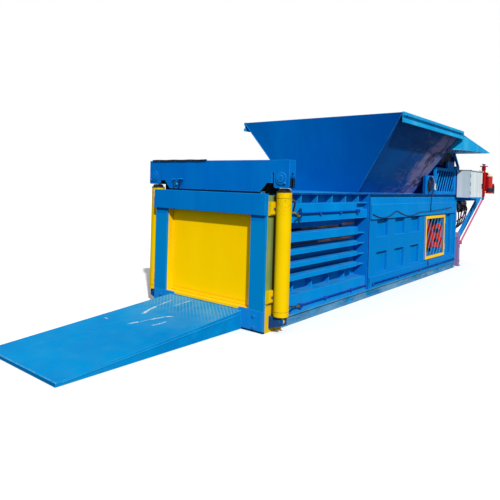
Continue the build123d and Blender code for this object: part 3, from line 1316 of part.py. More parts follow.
def ramp():
    """Hollow wedge: deck sheet, two side cheeks, an end plate and stiffeners."""
    tip = -RAMP_LENGTH
    tip_height = 30
    end = -RUNNING_GAP
    half = RAMP_WIDTH / 2
    wedge = [(tip, 0), (tip, tip_height), (end, RAMP_HEIGHT), (end, 0)]
    hollow = [(tip + 60, -1), (tip + 60, tip_height - RAMP_SHEET + 4), (end - RAMP_SHEET, RAMP_HEIGHT - RAMP_SHEET),
              (end - RAMP_SHEET, -1)]
    body = side_plate(wedge, -half, half)
    body -= side_plate(hollow, -half + RAMP_SHEET, half - RAMP_SHEET)
    notch = block(end - 70, end + 1, -450, 450, -1, 12)
    return body - notch


def build_all():
    """Every node of the baler by name."""
    return {
        "base_frame": base_frame(),
        "gate_portal": gate_portal(),
        "sill_blocks": sill_blocks(),
        "frame_bolts": frame_bolts(),
        "guide_column_right": guide_column(SIDES["right"]),
        "guide_column_left": guide_column(SIDES["left"]),
        "gate_sill": gate_sill(),
        "clamp_blocks": clamp_blocks(),
        "chamber_wall_right": chamber_wall(SIDES["right"]),
        "chamber_wall_left": chamber_wall(SIDES["left"]),
        "tie_ribs_right": tie_ribs(SIDES["right"]),
        "tie_ribs_left": tie_ribs(SIDES["left"]),
        "chamber_roof": chamber_roof(),
        "body_floor": body_floor(),
        "joint_flange": joint_flange(),
        "body_side_right": body_side(SIDES["right"], True),
        "body_side_left": body_side(SIDES["left"], False),
        "body_roof": body_roof(),
        "throat_knife": throat_knife(),
        "rear_bulkhead": rear_bulkhead(),
        "hopper_shell": hopper_shell(),
        "hopper_rim": hopper_rim(),
        "rear_apron": rear_apron(),
        "main_barrel": main_barrel(),
        "cylinder_flange": cylinder_flange(),
        "cylinder_cradle": cylinder_cradle(),
        "gate_barrel_right": gate_barrel(SIDES["right"]),
        "gate_barrel_left": gate_barrel(SIDES["left"]),
        "foot_brackets": foot_brackets(),
        "foot_pins": foot_pins(),
        "pressure_pipes": pressure_pipes(),
        "hydraulic_hoses": hydraulic_hoses(),
        "upper_guards": upper_guards(),
        "cooler_housing": cooler_housing(),
        "cooler_fan": cooler_fan(),
        "rear_platform": rear_platform(),
        "oil_tank": oil_tank(),
        "drive_motor": drive_motor(),
        "oil_pump": oil_pump(),
        "cabinet_box": cabinet_box(),
        "cabinet_door": cabinet_door(),
        "door_handle": door_handle(),
        "stop_button": stop_button(),
        "start_button": start_button(),
        "isolator_handle": isolator_handle(),
        "standpipe": standpipe(),
        "valve_handle": valve_handle(),
        "oil_filter": oil_filter(),
        "ramp": ramp(),
        "gate_panel": gate_panel(),
        "lifting_beam": lifting_beam(),
        "gate_rods": gate_rods(),
        "beam_pins": beam_pins(),
        "ram_box": ram_box(),
        "ram_knife": ram_knife(),
        "rod_pin": rod_pin(),
        "main_rod": main_rod(),
        "window_guard": window_guard(),
        "window_bars": window_bars(),
        "window_hinges": window_hinges(),
    }


os.makedirs("parts", exist_ok=True)
for name, shape in build_all().items():
    export_step(shape, f"parts/{name}.step")
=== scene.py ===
# Horizontal recycling baler, dressed for the photograph's view. Lengths are in metres.
import functools
import json
import math

import bmesh
import bpy
import numpy as np
from mathutils import Matrix, Vector


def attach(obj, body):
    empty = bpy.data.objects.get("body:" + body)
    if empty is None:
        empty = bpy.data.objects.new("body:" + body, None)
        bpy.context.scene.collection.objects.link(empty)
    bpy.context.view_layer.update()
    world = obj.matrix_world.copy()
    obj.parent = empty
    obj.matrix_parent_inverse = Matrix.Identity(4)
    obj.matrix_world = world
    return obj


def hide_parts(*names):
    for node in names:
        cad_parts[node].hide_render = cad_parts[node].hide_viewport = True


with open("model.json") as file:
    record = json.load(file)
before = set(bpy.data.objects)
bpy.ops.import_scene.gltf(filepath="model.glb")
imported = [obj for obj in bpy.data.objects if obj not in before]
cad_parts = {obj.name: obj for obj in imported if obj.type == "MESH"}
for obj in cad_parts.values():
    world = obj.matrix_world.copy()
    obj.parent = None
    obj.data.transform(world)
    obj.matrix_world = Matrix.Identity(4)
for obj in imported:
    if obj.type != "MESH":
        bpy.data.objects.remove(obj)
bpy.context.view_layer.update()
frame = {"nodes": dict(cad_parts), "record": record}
NODES = frame["nodes"]


# Camera, at the photograph's place and angle

CAMERA_PLACE = (-4.0205, -3.8622, 1.5)
CAMERA_YAW, CAMERA_PITCH, CAMERA_ROLL = 0.6798, 0.0081, 0.029
FOCAL_PIXELS = 503.47
IMAGE_PIXELS = 500
AXIS_ROW = 188.31
SENSOR_MM = 36
CLIP_END = 200


def add_camera():
    """Camera whose axes come from yaw, pitch and roll, shifted so that its axis meets AXIS_ROW."""
    ahead = Vector((math.cos(CAMERA_YAW) * math.cos(CAMERA_PITCH),
                    math.sin(CAMERA_YAW) * math.cos(CAMERA_PITCH), -math.sin(CAMERA_PITCH)))
    right = Vector((math.sin(CAMERA_YAW), -math.cos(CAMERA_YAW), 0))
    up = right.cross(ahead)
    cosine, sine = math.cos(CAMERA_ROLL), math.sin(CAMERA_ROLL)
    data = bpy.data.cameras.new("camera")
    data.sensor_width = SENSOR_MM
    data.lens = FOCAL_PIXELS * SENSOR_MM / IMAGE_PIXELS
    data.shift_y = (AXIS_ROW - IMAGE_PIXELS / 2) / IMAGE_PIXELS
    data.clip_end = CLIP_END
    camera = bpy.data.objects.new("camera", data)
    axes = Matrix((right * cosine + up * sine, up * cosine - right * sine, -ahead)).transposed()
    camera.matrix_world = Matrix.Translation(CAMERA_PLACE) @ axes.to_4x4()
    bpy.context.collection.objects.link(camera)
    bpy.context.scene.camera = camera


add_camera()


# Hoses and cables

HOSE_DIAMETER, CABLE_DIAMETER = 0.020, 0.014
TOP_HOSE = [(0.226, 0.954, 1.350), (0.306, 0.954, 1.350), (0.380, 0.925, 1.318),
            (0.450, 0.846, 1.221), (0.530, 0.820, 1.190), (0.608, 0.820, 1.190)]
LOW_HOSE = [(0.226, 0.954, 0.244), (0.306, 0.954, 0.244), (0.392, 0.925, 0.229),
            (0.500, 0.846, 0.187), (0.588, 0.820, 0.173), (0.668, 0.820, 0.173)]
CABLE_LINE = -0.8373
CABLE_HOLDS = [(2.430, 1.136), (3.250, 1.174), (4.180, 1.124), (5.830, 1.172)]
CABLE_SAGS = [(0.080, 5), (0.072, 6), (0.014, 10)]
DROP_CABLE = [(4.815, -0.838, 1.482), (4.776, -0.840, 1.452), (4.734, -0.845, 1.432),
              (4.706, -0.8485, 1.402), (4.694, -0.848, 1.360), (4.690, -0.846, 1.314),
              (4.692, -0.842, 1.268), (4.698, -0.8385, 1.222), (4.700, -0.8373, 1.176)]


def swag_cable():
    """Route under the rail: between two holds it hangs 4 * sag * s * (1 - s) below their line."""
    points = []
    for (x0, z0), (x1, z1), (sag, count) in zip(CABLE_HOLDS, CABLE_HOLDS[1:], CABLE_SAGS):
        for step in range(count):
            share = step / count
            points.append((x0 + share * (x1 - x0), CABLE_LINE,
                           z0 + share * (z1 - z0) - 4 * sag * share * (1 - share)))
    end_x, end_z = CABLE_HOLDS[-1]
    return points + [(end_x, CABLE_LINE, end_z)]


def add_cord(name, points, diameter):
    """Round cord along one smooth spline through its route, on the frame's body."""
    data = bpy.data.curves.new(name, "CURVE")
    data.dimensions = "3D"
    data.resolution_u = 16
    data.bevel_depth = diameter / 2
    data.bevel_resolution = 5
    data.use_fill_caps = True
    spline = data.splines.new("NURBS")
    spline.points.add(len(points) - 1)
    for point, place in zip(spline.points, points):
        point.co = (*place, 1.0)
    spline.order_u = 3
    spline.use_endpoint_u = True
    cord = bpy.data.objects.new(name, data)
    bpy.context.collection.objects.link(cord)
    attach(cord, "frame")
    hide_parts("hydraulic_hoses")
    return cord


def add_hoses(place, route):
    """The same hose at the right and the left gate cylinder."""
    return [add_cord(f"hose_{place}_{side}", [(x, turn * y, z) for x, y, z in route],
                     HOSE_DIAMETER) for side, turn in (("right", -1), ("left", 1))]


TOP_HOSES = add_hoses("top", TOP_HOSE)
LOW_HOSES = add_hoses("low", LOW_HOSE)
CABLES = [add_cord("cable_under_rail", swag_cable(), CABLE_DIAMETER),
          add_cord("cable_from_cooler", DROP_CABLE, CABLE_DIAMETER)]


# Node graph helpers

MIX_FIRST, MIX_SECOND, MIX_RESULT = 6, 7, 2
EDGE_RADIUS = 0.009
STROKE_DRIFT = 0.10
STROKE_FADE = 0.03


def linear(*screen):
    """Colour given as it looks on screen, from 0 to 255, in the shader's linear values."""
    shares = [level / 255 for level in screen]
    return (*(share / 12.92 if share <= 0.04045 else ((share + 0.055) / 1.055) ** 2.4
              for share in shares), 1.0)


class Graph:
    """Short names for adding nodes to a material's or a world's tree, and its running colour."""

    def __init__(self, owner):
        owner.use_nodes = True
        self.owner = owner
        self.tree = owner.node_tree
        self.colour = None

    def node(self, kind, **values):
        """New node: a value goes to the setting of its name or, where there is none, to that input."""
        made = self.tree.nodes.new("ShaderNode" + kind)
        for key, value in values.items():
            if hasattr(made, key):
                setattr(made, key, value)
            else:
                self.feed(made.inputs[key.replace("_", " ")], value)
        return made

    def feed(self, socket, value):
        """Links a socket to another one, or gives it a value."""
        if isinstance(value, bpy.types.NodeSocket):
            self.tree.links.new(value, socket)
        else:
            socket.default_value = value

    def set(self, **values):
        """Feeds inputs of the material's own shader."""
        for key, value in values.items():
            self.feed(self.tree.nodes["Principled BSDF"].inputs[key.replace("_", " ")], value)

    def here(self):
        """Object coordinates, which are the object's own metres."""
        return self.node("TexCoord").outputs["Object"]

    def place(self, scale=(1, 1, 1), turn=(0, 0, 0)):
        """Object coordinates, scaled and turned."""
        return self.node("Mapping", Vector=self.here(), Scale=scale, Rotation=turn).outputs["Vector"]

    def part(self, axis, vector):
        """One axis of a vector; the axis "side" is Y without its sign, for both sides alike."""
        if axis == "side":
            return self.math("ABSOLUTE", self.part("Y", vector), 0.0)
        return self.node("SeparateXYZ", Vector=vector).outputs[axis]

    def on(self, axis):
        """Place along one axis."""
        return self.part(axis, self.here())

    def noise(self, scale, detail, rough, stretch=(1, 1, 1), twist=0.0):
        return self.node("TexNoise", Scale=scale, Detail=detail, Roughness=rough, Distortion=twist,
                         Vector=self.place(stretch)).outputs["Fac"]

    def ramp(self, factor, none, full, low=0.0, high=1.0):
        """Value that runs from low, where the factor is at none, to high, where it is at full."""
        return self.node("MapRange", Value=factor, From_Min=none, From_Max=full, To_Min=low,
                         To_Max=high, clamp=True).outputs["Result"]

    def patches(self, none, full, *noise, **more):
        """Cloudy share of the surface: a ramp over noise."""
        return self.ramp(self.noise(*noise, **more), none, full)

    def along(self, axis, none, full, low=0.0, high=1.0):
        """Ramp over the place along one axis."""
        return self.ramp(self.on(axis), none, full, low, high)

    def facing(self, axis, none, full):
        """Ramp over how far the surface faces along one axis."""
        return self.ramp(self.part(axis, self.node("NewGeometry").outputs["Normal"]), none, full)

    def band(self, value, none, full, last, gone):
        """Share that rises from none to full and falls again from last to gone."""
        return self.times(self.ramp(value, none, full), self.ramp(value, gone, last))

    def math(self, operation, first, second, clamp=False):
        made = self.node("Math", operation=operation, use_clamp=clamp)
        self.feed(made.inputs[0], first)
        self.feed(made.inputs[1], second)
        return made.outputs[0]

    def chain(self, operation, values):
        """One value from several; a tuple (axis, none, full) among them is a ramp along that axis."""
        sockets = [self.along(*value) if isinstance(value, tuple) else value for value in values]
        return functools.reduce(lambda first, second: self.math(operation, first, second), sockets)

    def times(self, *factors):
        return self.chain("MULTIPLY", factors)

    def most(self, *values):
        return self.chain("MAXIMUM", values)

    def mix(self, factor, first, second):
        made = self.node("Mix", data_type="RGBA", Factor=factor)
        self.feed(made.inputs[MIX_FIRST], first)
        self.feed(made.inputs[MIX_SECOND], second)
        return made.outputs[MIX_RESULT]

    def lay(self, screen, *shares):
        """Lays a screen colour over the running colour, by the product of the shares."""
        self.colour = self.mix(self.times(*shares), self.colour, linear(*screen))

    def mark(self, marks):
        """Lays one piece's marks: a function of this graph, or a screen colour and its shares."""
        if callable(marks):
            marks(self)
        elif marks:
            self.lay(*marks)

    def bump(self, *layers):
        """Normal from a chain of heights, each with its strength and its depth."""
        normal = None
        for height, strength, distance in layers:
            made = self.node("Bump", Strength=strength, Distance=distance, Height=height)
            if normal is not None:
                self.feed(made.inputs["Normal"], normal)
            normal = made.outputs["Normal"]
        self.set(Normal=normal)

    def edges(self):
        """Nearness of an edge: the dot product of a bevelled normal and the flat one, from 0.97 to 0.86."""
        bevel = self.node("Bevel", samples=4, Radius=EDGE_RADIUS)
        dot = self.node("VectorMath", operation="DOT_PRODUCT")
        self.feed(dot.inputs[0], bevel.outputs["Normal"])
        self.feed(dot.inputs[1], self.node("NewGeometry").outputs["Normal"])
        worn = self.ramp(self.noise(9, 4, 0.65), 0.34, 0.6, 0.3, 1.0)
        return self.times(self.ramp(dot.outputs["Value"], 0.97, 0.86), worn)

    def stroke(self, start, end, width):
        """Mask of one scrape seen from above: near the line from start to end, with wandering edges."""
        drift = self.node("TexNoise", Scale=7.0, Detail=3.0, Vector=self.place())
        moved = self.node("VectorMath", operation="MULTIPLY_ADD")
        self.feed(moved.inputs[0], drift.outputs["Color"])
        self.feed(moved.inputs[1], (STROKE_DRIFT, STROKE_DRIFT, 0.0))
        self.feed(moved.inputs[2], self.here())
        reach = math.dist(start, end)
        ahead = [(last - first) / reach for first, last in zip(start, end)]
        east, north = (self.math("SUBTRACT", self.part(axis, moved.outputs[0]), first + STROKE_DRIFT / 2)
                       for axis, first in zip("XY", start))
        way = self.math("ADD", self.times(east, ahead[0]), self.times(north, ahead[1]))
        off = self.math("SUBTRACT", self.times(north, ahead[0]), self.times(east, ahead[1]))
        near = self.ramp(self.math("ABSOLUTE", off, 0.0), width, width * 0.4)
        return self.times(near, self.band(way, 0.0, STROKE_FADE, reach - STROKE_FADE, reach))

    def seen(self):
        """One for rays from the camera, for reflections and for what is seen through glass."""
        path = self.node("LightPath").outputs
        return self.most(path["Is Camera Ray"], path["Is Glossy Ray"], path["Is Transmission Ray"])


# Paints and metals. A family of paints shares the tint of its sheen and the tone of its edges, which are
# worn and carry a painted highlight.

BLUES = (0.0, 0.35, 0.8, 1.0), (70, 178, 226)
YELLOWS = (1.0, 0.78, 0.05, 1.0), (250, 224, 90)
REDS = (0.8, 0.1, 0.1, 1.0), (214, 90, 70)
GREYS = (1.0, 1.0, 1.0, 1.0), (226, 232, 232)
BARE_SPOT, DUST, GRIME = (70, 60, 56), (150, 160, 164), (92, 98, 96)


def paint(name, family, base, shade, light, marks=None, rough=0.32, dust=0.15, grime=0.3,
          scratch=0.3, ripple=0.25, sheen=1.03):
    """Brushed and sprayed machine paint.

    The tone drifts in clouds and in streaks that run down. Scratches are thin and light,
    dust lies on faces that look up, and grime gathers towards the ground.
    """
    tint, edge = family
    graph = Graph(bpy.data.materials.new(name))
    graph.colour = graph.mix(graph.patches(0.36, 0.66, 1.3, 5, 0.6), linear(*shade), linear(*base))
    graph.lay(light, graph.patches(0.5, 0.78, 4.0, 3, 0.5, stretch=(1.0, 1.0, 0.1)), 0.4)
    graph.lay(shade, graph.patches(0.60, 0.78, 11, 6, 0.72), 0.16)
    lines = graph.times(graph.patches(0.69, 0.73, 26, 2, 0.5, stretch=(0.25, 0.25, 4.0), twist=1.5),
                        graph.patches(0.5, 0.62, 2.7, 3, 0.6))
    graph.lay(light, lines, scratch)
    chips = graph.times(graph.patches(0.76, 0.79, 70, 2, 0.6), graph.patches(0.5, 0.6, 5, 3, 0.6))
    graph.lay(BARE_SPOT, chips, 0.6)
    dusty = graph.times(graph.facing("Z", 0.6, 0.95), graph.patches(0.4, 0.75, 6, 5, 0.65), dust)
    graph.lay(DUST, dusty)
    low = graph.times(("Z", 0.34, 0.0), graph.patches(0.42, 0.72, 8, 6, 0.7, stretch=(1, 1, 0.4)), grime)
    graph.lay(GRIME, low)
    graph.mark(marks)
    # Edges are laid lighter: wear, and a painted highlight along them.
    graph.lay(edge, graph.edges(), 0.55)
    spread = graph.ramp(graph.noise(3.2, 4, 0.6), 0.3, 0.7, rough - 0.06, rough + 0.12)
    duller = graph.times(graph.math("ADD", dusty, low), 0.5)
    graph.set(Base_Color=graph.colour, Roughness=graph.math("ADD", spread, duller), IOR=sheen,
              Specular_Tint=tint)
    graph.bump((graph.noise(2.1, 2, 0.4), ripple, 0.004), (graph.noise(190, 2, 0.5), 0.12, 0.0004),
               (lines, 0.15, 0.0003), (chips, 0.3, 0.0004))
    return graph.owner


def bare_metal(name, tone, dark, rough, metallic=1.0, rust=None, rust_share=0.0, marks=None):
    """Rolled or machined steel with fine lines along the machine and, where asked, rust."""
    graph = Graph(bpy.data.materials.new(name))
    lines = graph.noise(60, 4, 0.6, stretch=(0.05, 1, 1))
    blotch = graph.noise(4, 6, 0.65)
    graph.colour = graph.mix(graph.ramp(lines, 0.3, 0.7), linear(*dark), linear(*tone))
    graph.set(Metallic=metallic, Roughness=graph.ramp(blotch, 0.3, 0.7, rough, rough + 0.2))
    if rust is not None:
        rusty = graph.ramp(blotch, 0.62 - rust_share * 0.4, 0.72 - rust_share * 0.3)
        graph.lay(rust, rusty)
        graph.set(Metallic=graph.math("SUBTRACT", metallic, graph.times(rusty, 0.8), True))
    graph.mark(marks)
    graph.set(Base_Color=graph.colour)
    graph.bump((lines, 0.12, 0.0006), (blotch, 0.15, 0.001))
    return graph.owner


def plain(name, tone, second, rough, grain=180.0, depth=0.0004, coat=0.0):
    """Small moulded or painted piece: two close tones, fine grain and a roughness that varies."""
    graph = Graph(bpy.data.materials.new(name))
    colour = graph.mix(graph.patches(0.35, 0.65, 14, 4, 0.6), linear(*tone), linear(*second))
    graph.set(Base_Color=colour, IOR=1.2, Coat_Weight=coat,
              Roughness=graph.ramp(graph.noise(22, 3, 0.6), 0.3, 0.7, rough, rough + 0.12))
    graph.bump((graph.noise(grain, 3, 0.6), 0.25, depth))
    return graph.owner


# Marks of single pieces: a screen colour and the shares that it is laid by, or a function

REAR_LEGS = (138, 112, 160), ("X", 6.442, 6.438), ("Z", 0.68, 0.66)
GATE_HANGER = (0, 96, 176), ("Z", 1.400, 1.402)
# Painted shade: the lower back of the beam is near black.
BEAM_BACK_SHADE = (10, 24, 48), ("X", 0.085, 0.090), ("Z", 1.60, 1.56)
PORTAL_POSTS = (1, 120, 186), ("Z", 1.13, 1.12)
OILY_BOLTS = (84, 66, 30), ("X", 0.015, 0.025)
POCKETED_SIDE = (0, 116, 188), ("Z", 1.065, 1.055), 0.8
# A darker band along the roof's outer edges, beside the hopper's foot.
ROOF_EDGE_BAND = (0, 46, 128), ("Z", 1.398, 1.402), ("side", 0.77, 0.79)
# Painted light: the bays between the gussets are a lighter blue, standing in for sun on them.
GUSSET_BAYS_PAINTED_LIGHT = (10, 166, 236), ("side", 0.68, 0.66), ("Z", 1.12, 1.16), 0.85
STAY_PIPE = (196, 96, 128), ("Z", 1.33, 1.31)
# Painted shade: the sill blocks darken at their foot.
SILL_FOOT_SHADE = (10, 30, 60), ("Z", 0.020, 0.016)
# Painted shade: the ram's side is near black towards its front, deep inside the chamber.
RAM_FRONT_SHADE = (6, 8, 14), ("X", 1.44, 1.36), 0.92
RAMP_SCRAPES = (
    ((-0.67, 0.199), (-0.42, 0.290), 0.021), ((-0.44, 0.285), (-0.17, 0.340), 0.009),
    ((-0.97, 0.094), (-0.86, 0.052), 0.018), ((-0.88, 0.056), (-0.70, 0.000), 0.010),
    ((-0.74, 0.012), (-0.54, -0.126), 0.016), ((-0.86, -0.144), (-0.69, -0.176), 0.012),
    ((-0.30, 0.145), (-0.05, 0.135), 0.008), ((-1.00, 0.430), (-0.97, 0.350), 0.009))
# Painted light: strength of the glow on the main cylinder's flange.
PAINTED_GLOW = 0.42


def hopper_shade_and_reflections(graph):
    """Painted shade, darker to the right and on the right side sheet; painted reflections, as streaks on
    that sheet, most at its rear.
    """
    # Painted shade: darker towards the right, and on the right side sheet, which faces down.
    graph.lay((0, 64, 148), ("Y", 0.7, -1.2), 0.75)
    side = graph.times(graph.facing("Y", -0.7, -0.8), ("Y", -0.2, -0.3))
    graph.lay((12, 78, 150), side, 0.94)
    # Painted reflections on the side sheet: blue, grey, brown, lilac, dark and pale streaks, more towards
    # its rear.
    blue = graph.patches(0.46, 0.62, 1.3, 5, 0.6, stretch=(1.0, 0.5, 1.4))
    graph.lay((14, 94, 168), side, blue, 0.45)
    deep = graph.patches(0.52, 0.66, 2.0, 4, 0.6, stretch=(0.8, 0.5, 1.2), twist=0.8)
    graph.lay((6, 46, 108), side, deep, 0.5)
    slide = graph.noise(3.0, 6, 0.68, stretch=(0.5, 1.0, 1.7), twist=0.9)
    rear = graph.math("SUBTRACT", graph.on("X"), graph.times(graph.on("Z"), 0.215))
    graph.lay((84, 96, 132), side, graph.ramp(slide, 0.44, 0.60), graph.ramp(rear, 2.6, 3.6), 0.3)
    graph.lay((140, 128, 118), side, graph.ramp(slide, 0.55, 0.66), graph.ramp(rear, 3.0, 3.7), 0.7)
    wander = graph.math("ADD", rear, graph.times(graph.noise(1.6, 5, 0.7, stretch=(1, 0.4, 1)), 1.5))
    lilac = graph.times(graph.ramp(wander, 4.24, 4.40), graph.ramp(slide, 0.36, 0.48))
    graph.lay((140, 134, 178), side, lilac, 0.75)
    split = graph.math("ADD", rear, graph.times(graph.noise(2.2, 5, 0.7, stretch=(1, 0.4, 1)), 1.3))
    graph.lay((18, 26, 50), side, graph.band(split, 4.50, 4.54, 4.59, 4.66), 0.75)
    thin = graph.patches(0.60, 0.66, 9.0, 5, 0.7, stretch=(0.3, 1.0, 2.2), twist=1.2)
    graph.lay((96, 136, 186), side, thin, ("X", 2.6, 3.6), 0.5)


def skid_marks(graph):
    """Pale dried mud along the skids."""
    graph.lay((130, 164, 184), graph.patches(0.40, 0.62, 5, 6, 0.7, stretch=(0.35, 1, 1)), 0.55)


def column_painted_shade(graph):
    """Painted shade: the columns' outer sides are olive in the barrels' shadow, and darker still right
    behind the cylinders.
    """
    outer = graph.times(("side", 0.80, 0.83), ("Z", 0.25, 0.31))
    olive_shade = graph.ramp(graph.noise(6, 5, 0.65, stretch=(1, 1, 0.25)), 0.3, 0.6, 0.72, 1.0)
    graph.lay((112, 138, 82), outer, olive_shade)
    graph.lay((58, 44, 20), outer, ("X", 0.080, 0.140), 0.75)


def barrel_painted_reflections(graph):
    """Thin wavy lines on the upper part of the cylinders: a painted reflection."""
    waves = graph.noise(9, 4, 0.6, stretch=(1, 1, 3.2), twist=2.2)
    graph.lay((150, 118, 16), graph.band(waves, 0.50, 0.515, 0.53, 0.545), ("Z", 1.16, 1.26), 0.75)


def ramp_wear_and_sheen(graph):
    """Dark cheeks and toe, chips along the toe, scrapes, and by the gate a lighter field as painted sheen
    and lines as a painted reflection.
    """
    deck = graph.facing("Z", 0.8, 0.95)
    graph.lay((0, 108, 176), graph.math("SUBTRACT", 1.0, deck),
              graph.along("X", -1.7, -0.5, 0.15, 0.8), graph.patches(0.36, 0.60, 4.0, 4, 0.6))
    graph.lay((0, 84, 142), graph.facing("X", -0.6, -0.8), ("X", -1.9, -2.0), 0.8)
    chips = graph.patches(0.46, 0.6, 34, 4, 0.7)
    graph.lay((150, 186, 206), deck, ("X", -2.058, -2.070), chips, 0.6)
    # Painted sheen: a lighter field on the deck by the gate.
    sheen_field = graph.patches(0.34, 0.6, 3.0, 4, 0.6)
    graph.lay((92, 158, 184), deck, ("X", -1.0, -0.35), sheen_field, 0.42)
    # Painted reflection: light lines on the deck by the gate.
    reflected_lines = graph.node("TexWave", Scale=9.0, Distortion=0.6, Detail=1.0,
                       Vector=graph.place((1, 1, 0), (0, 0, 0.75))).outputs["Fac"]
    graph.lay((150, 180, 190), deck, graph.ramp(reflected_lines, 0.68, 0.80), ("X", -0.55, -0.20), 0.26)
    scrapes = graph.most(*(graph.stroke(*scrape) for scrape in RAMP_SCRAPES))
    graph.lay((206, 222, 226), deck, scrapes, graph.patches(0.36, 0.52, 30, 4, 0.7), 0.85)


def flange_painted_shade(graph):
    """Painted shade: the joint flange's outer edge is darker than its face."""
    graph.lay((2, 52, 142), graph.facing("side", 0.85, 0.95))


def partition_painted_shade(graph):
    """Painted shade: the partition sheet behind the guards is dark."""
    graph.lay((6, 58, 166), graph.band(graph.on("X"), 6.045, 6.050, 6.060, 6.064))


def rim_fold_shade(graph):
    """Painted shade in the fold line along the rim, under its bolts."""
    fold = graph.band(graph.on("Z"), 2.408, 2.412, 2.422, 2.426)
    graph.lay((0, 62, 134), graph.facing("side", 0.7, 0.8), fold, 0.85)


def window_overspray_and_shade(graph):
    """The window frame's front edge is sprayed over with blue, and its rear jamb is darkened brown as
    painted shade.
    """
    front = graph.facing("X", -0.7, -0.85)
    graph.lay((0, 118, 196), front, ("X", 4.56, 4.54), 0.85)
    # Painted shade: the rear jamb's inner face, darkened brown.
    graph.lay((104, 66, 24), front, ("X", 5.40, 5.42), 0.8)


def cooler_painted_shade(graph):
    """Painted shade: the front end of the cooler's housing is darker than its cover."""
    graph.lay((0, 76, 152), graph.facing("X", -0.7, -0.85))


def cabinet_marks(graph):
    """Soft upright bands where the sheet reflects its surroundings."""
    bands = graph.noise(9, 2, 0.4, stretch=(1, 1, 0.02))
    graph.lay((176, 196, 204), graph.ramp(bands, 0.45, 0.62), 0.7)
    graph.lay((224, 230, 228), graph.ramp(bands, 0.36, 0.30), 0.6)


def painted_glow_red(graph):
    """Painted light: the main cylinder's flange glows a little, standing in for light from the open deck.
    """
    graph.set(Emission_Color=linear(196, 34, 24), Emission_Strength=PAINTED_GLOW)


# Finishes

MACHINE_TONES = (1, 130, 202), (0, 118, 194), (12, 148, 214)
RAM_STEEL_VALUES = (196, 156, 130), (140, 104, 84), 0.45, 0.35, (150, 84, 52), 0.45

BLUE = paint("machine_blue", BLUES, *MACHINE_TONES)
ROOF_BLUE = paint("roof_blue", BLUES, *MACHINE_TONES, ROOF_EDGE_BAND)
WALL_BLUE = paint("wall_blue", BLUES, *MACHINE_TONES, GUSSET_BAYS_PAINTED_LIGHT)
BODY_BLUE = paint("body_blue", BLUES, (1, 128, 200), (0, 118, 192), (12, 146, 212), POCKETED_SIDE)
SILL_BLUE = paint("sill_blue", BLUES, (1, 128, 206), (0, 116, 196), (10, 142, 214), SILL_FOOT_SHADE)
BOLT_BLUE = paint("bolt_blue", BLUES, (4, 86, 150), (0, 66, 128), (12, 110, 180))
FRAME_BOLT = paint("frame_bolt_blue", BLUES, (1, 110, 184), (0, 96, 170), (12, 126, 196), OILY_BOLTS)
FLANGE_BLUE = paint("flange_blue", BLUES, (0, 108, 192), (0, 94, 176), (6, 124, 200), flange_painted_shade)
COOLER_BLUE = paint("cooler_blue", BLUES, (0, 118, 196), (0, 104, 186), (20, 140, 210), cooler_painted_shade)
PIPE_BLUE = paint("pipe_blue", BLUES, (6, 60, 158), (2, 44, 132), (20, 84, 180))
DARK_BLUE = paint("bracket_blue", BLUES, (4, 60, 124), (2, 44, 100), (16, 90, 156))
BAR_BLUE = paint("bar_blue", BLUES, (84, 132, 178), (60, 104, 150), (150, 170, 190))
GUARD_BLUE = paint("guard_blue", BLUES, (4, 128, 208), (0, 110, 196), (50, 160, 224), partition_painted_shade)
PLATFORM_BLUE = paint("platform_blue", BLUES, (10, 130, 206), (0, 112, 192), (60, 160, 220), REAR_LEGS)
FRONT_BLUE = paint("gate_frame_blue", BLUES, (1, 112, 188), (0, 104, 180), (6, 126, 198), PORTAL_POSTS,
                   rough=0.36)
BEAM_BLUE = paint("beam_blue", BLUES, (0, 104, 188), (0, 97, 180), (6, 120, 198), BEAM_BACK_SHADE,
                  rough=0.4, ripple=0.15)
RAMP_BLUE = paint("ramp_blue", BLUES, (0, 137, 200), (0, 126, 192), (12, 150, 206), ramp_wear_and_sheen,
                  rough=0.26, dust=0.02, grime=0.1, scratch=0.15, ripple=0.6, sheen=1.02)
HOPPER_BLUE = paint("hopper_blue", BLUES, (0, 110, 192), (0, 98, 179), (6, 122, 198), hopper_shade_and_reflections,
                    rough=0.28, dust=0.1, grime=0.0, ripple=0.7, sheen=1.02)
RIM_BLUE = paint("rim_blue", BLUES, (28, 160, 210), (14, 144, 202), (98, 192, 222), rim_fold_shade,
                 rough=0.4, dust=0.3, grime=0.0)
SKID_BLUE = paint("skid_blue", BLUES, (10, 128, 184), (4, 104, 160), (60, 156, 196), skid_marks,
                  rough=0.5, dust=0.6, grime=0.8)
MOTOR = paint("motor_grey_blue", BLUES, (44, 84, 96), (34, 70, 82), (80, 110, 118))
YELLOW = paint("gate_yellow", YELLOWS, (245, 198, 0), (241, 193, 0), (249, 204, 6), GATE_HANGER,
               rough=0.4, dust=0.05, grime=0.12, scratch=0.15, ripple=0.12)
CYLINDER_YELLOW = paint("cylinder_yellow", YELLOWS, (220, 184, 2), (213, 174, 0), (230, 196, 20),
                        barrel_painted_reflections, rough=0.3, dust=0.05, grime=0.1, scratch=0.2, ripple=0.1)
COLUMN_YELLOW = paint("column_yellow", YELLOWS, (226, 188, 3), (214, 174, 2), (236, 200, 18),
                      column_painted_shade, rough=0.36, dust=0.1, grime=0.35)
WINDOW_YELLOW = paint("window_yellow", YELLOWS, (240, 192, 40), (232, 180, 20), (250, 214, 120),
                      window_overspray_and_shade, rough=0.4, grime=0.1)
RED = paint("oxide_red", REDS, (196, 22, 20), (172, 14, 18), (220, 50, 36))
GLOWING_RED = paint("painted_glow_red", REDS, (210, 40, 26), (190, 30, 20), (230, 60, 40), painted_glow_red)
PLATE_RED = paint("plate_red", REDS, (234, 58, 30), (216, 42, 22), (242, 100, 56))
POST_RED = paint("post_red", REDS, (158, 10, 16), (138, 6, 12), (190, 40, 36), STAY_PIPE, rough=0.3)
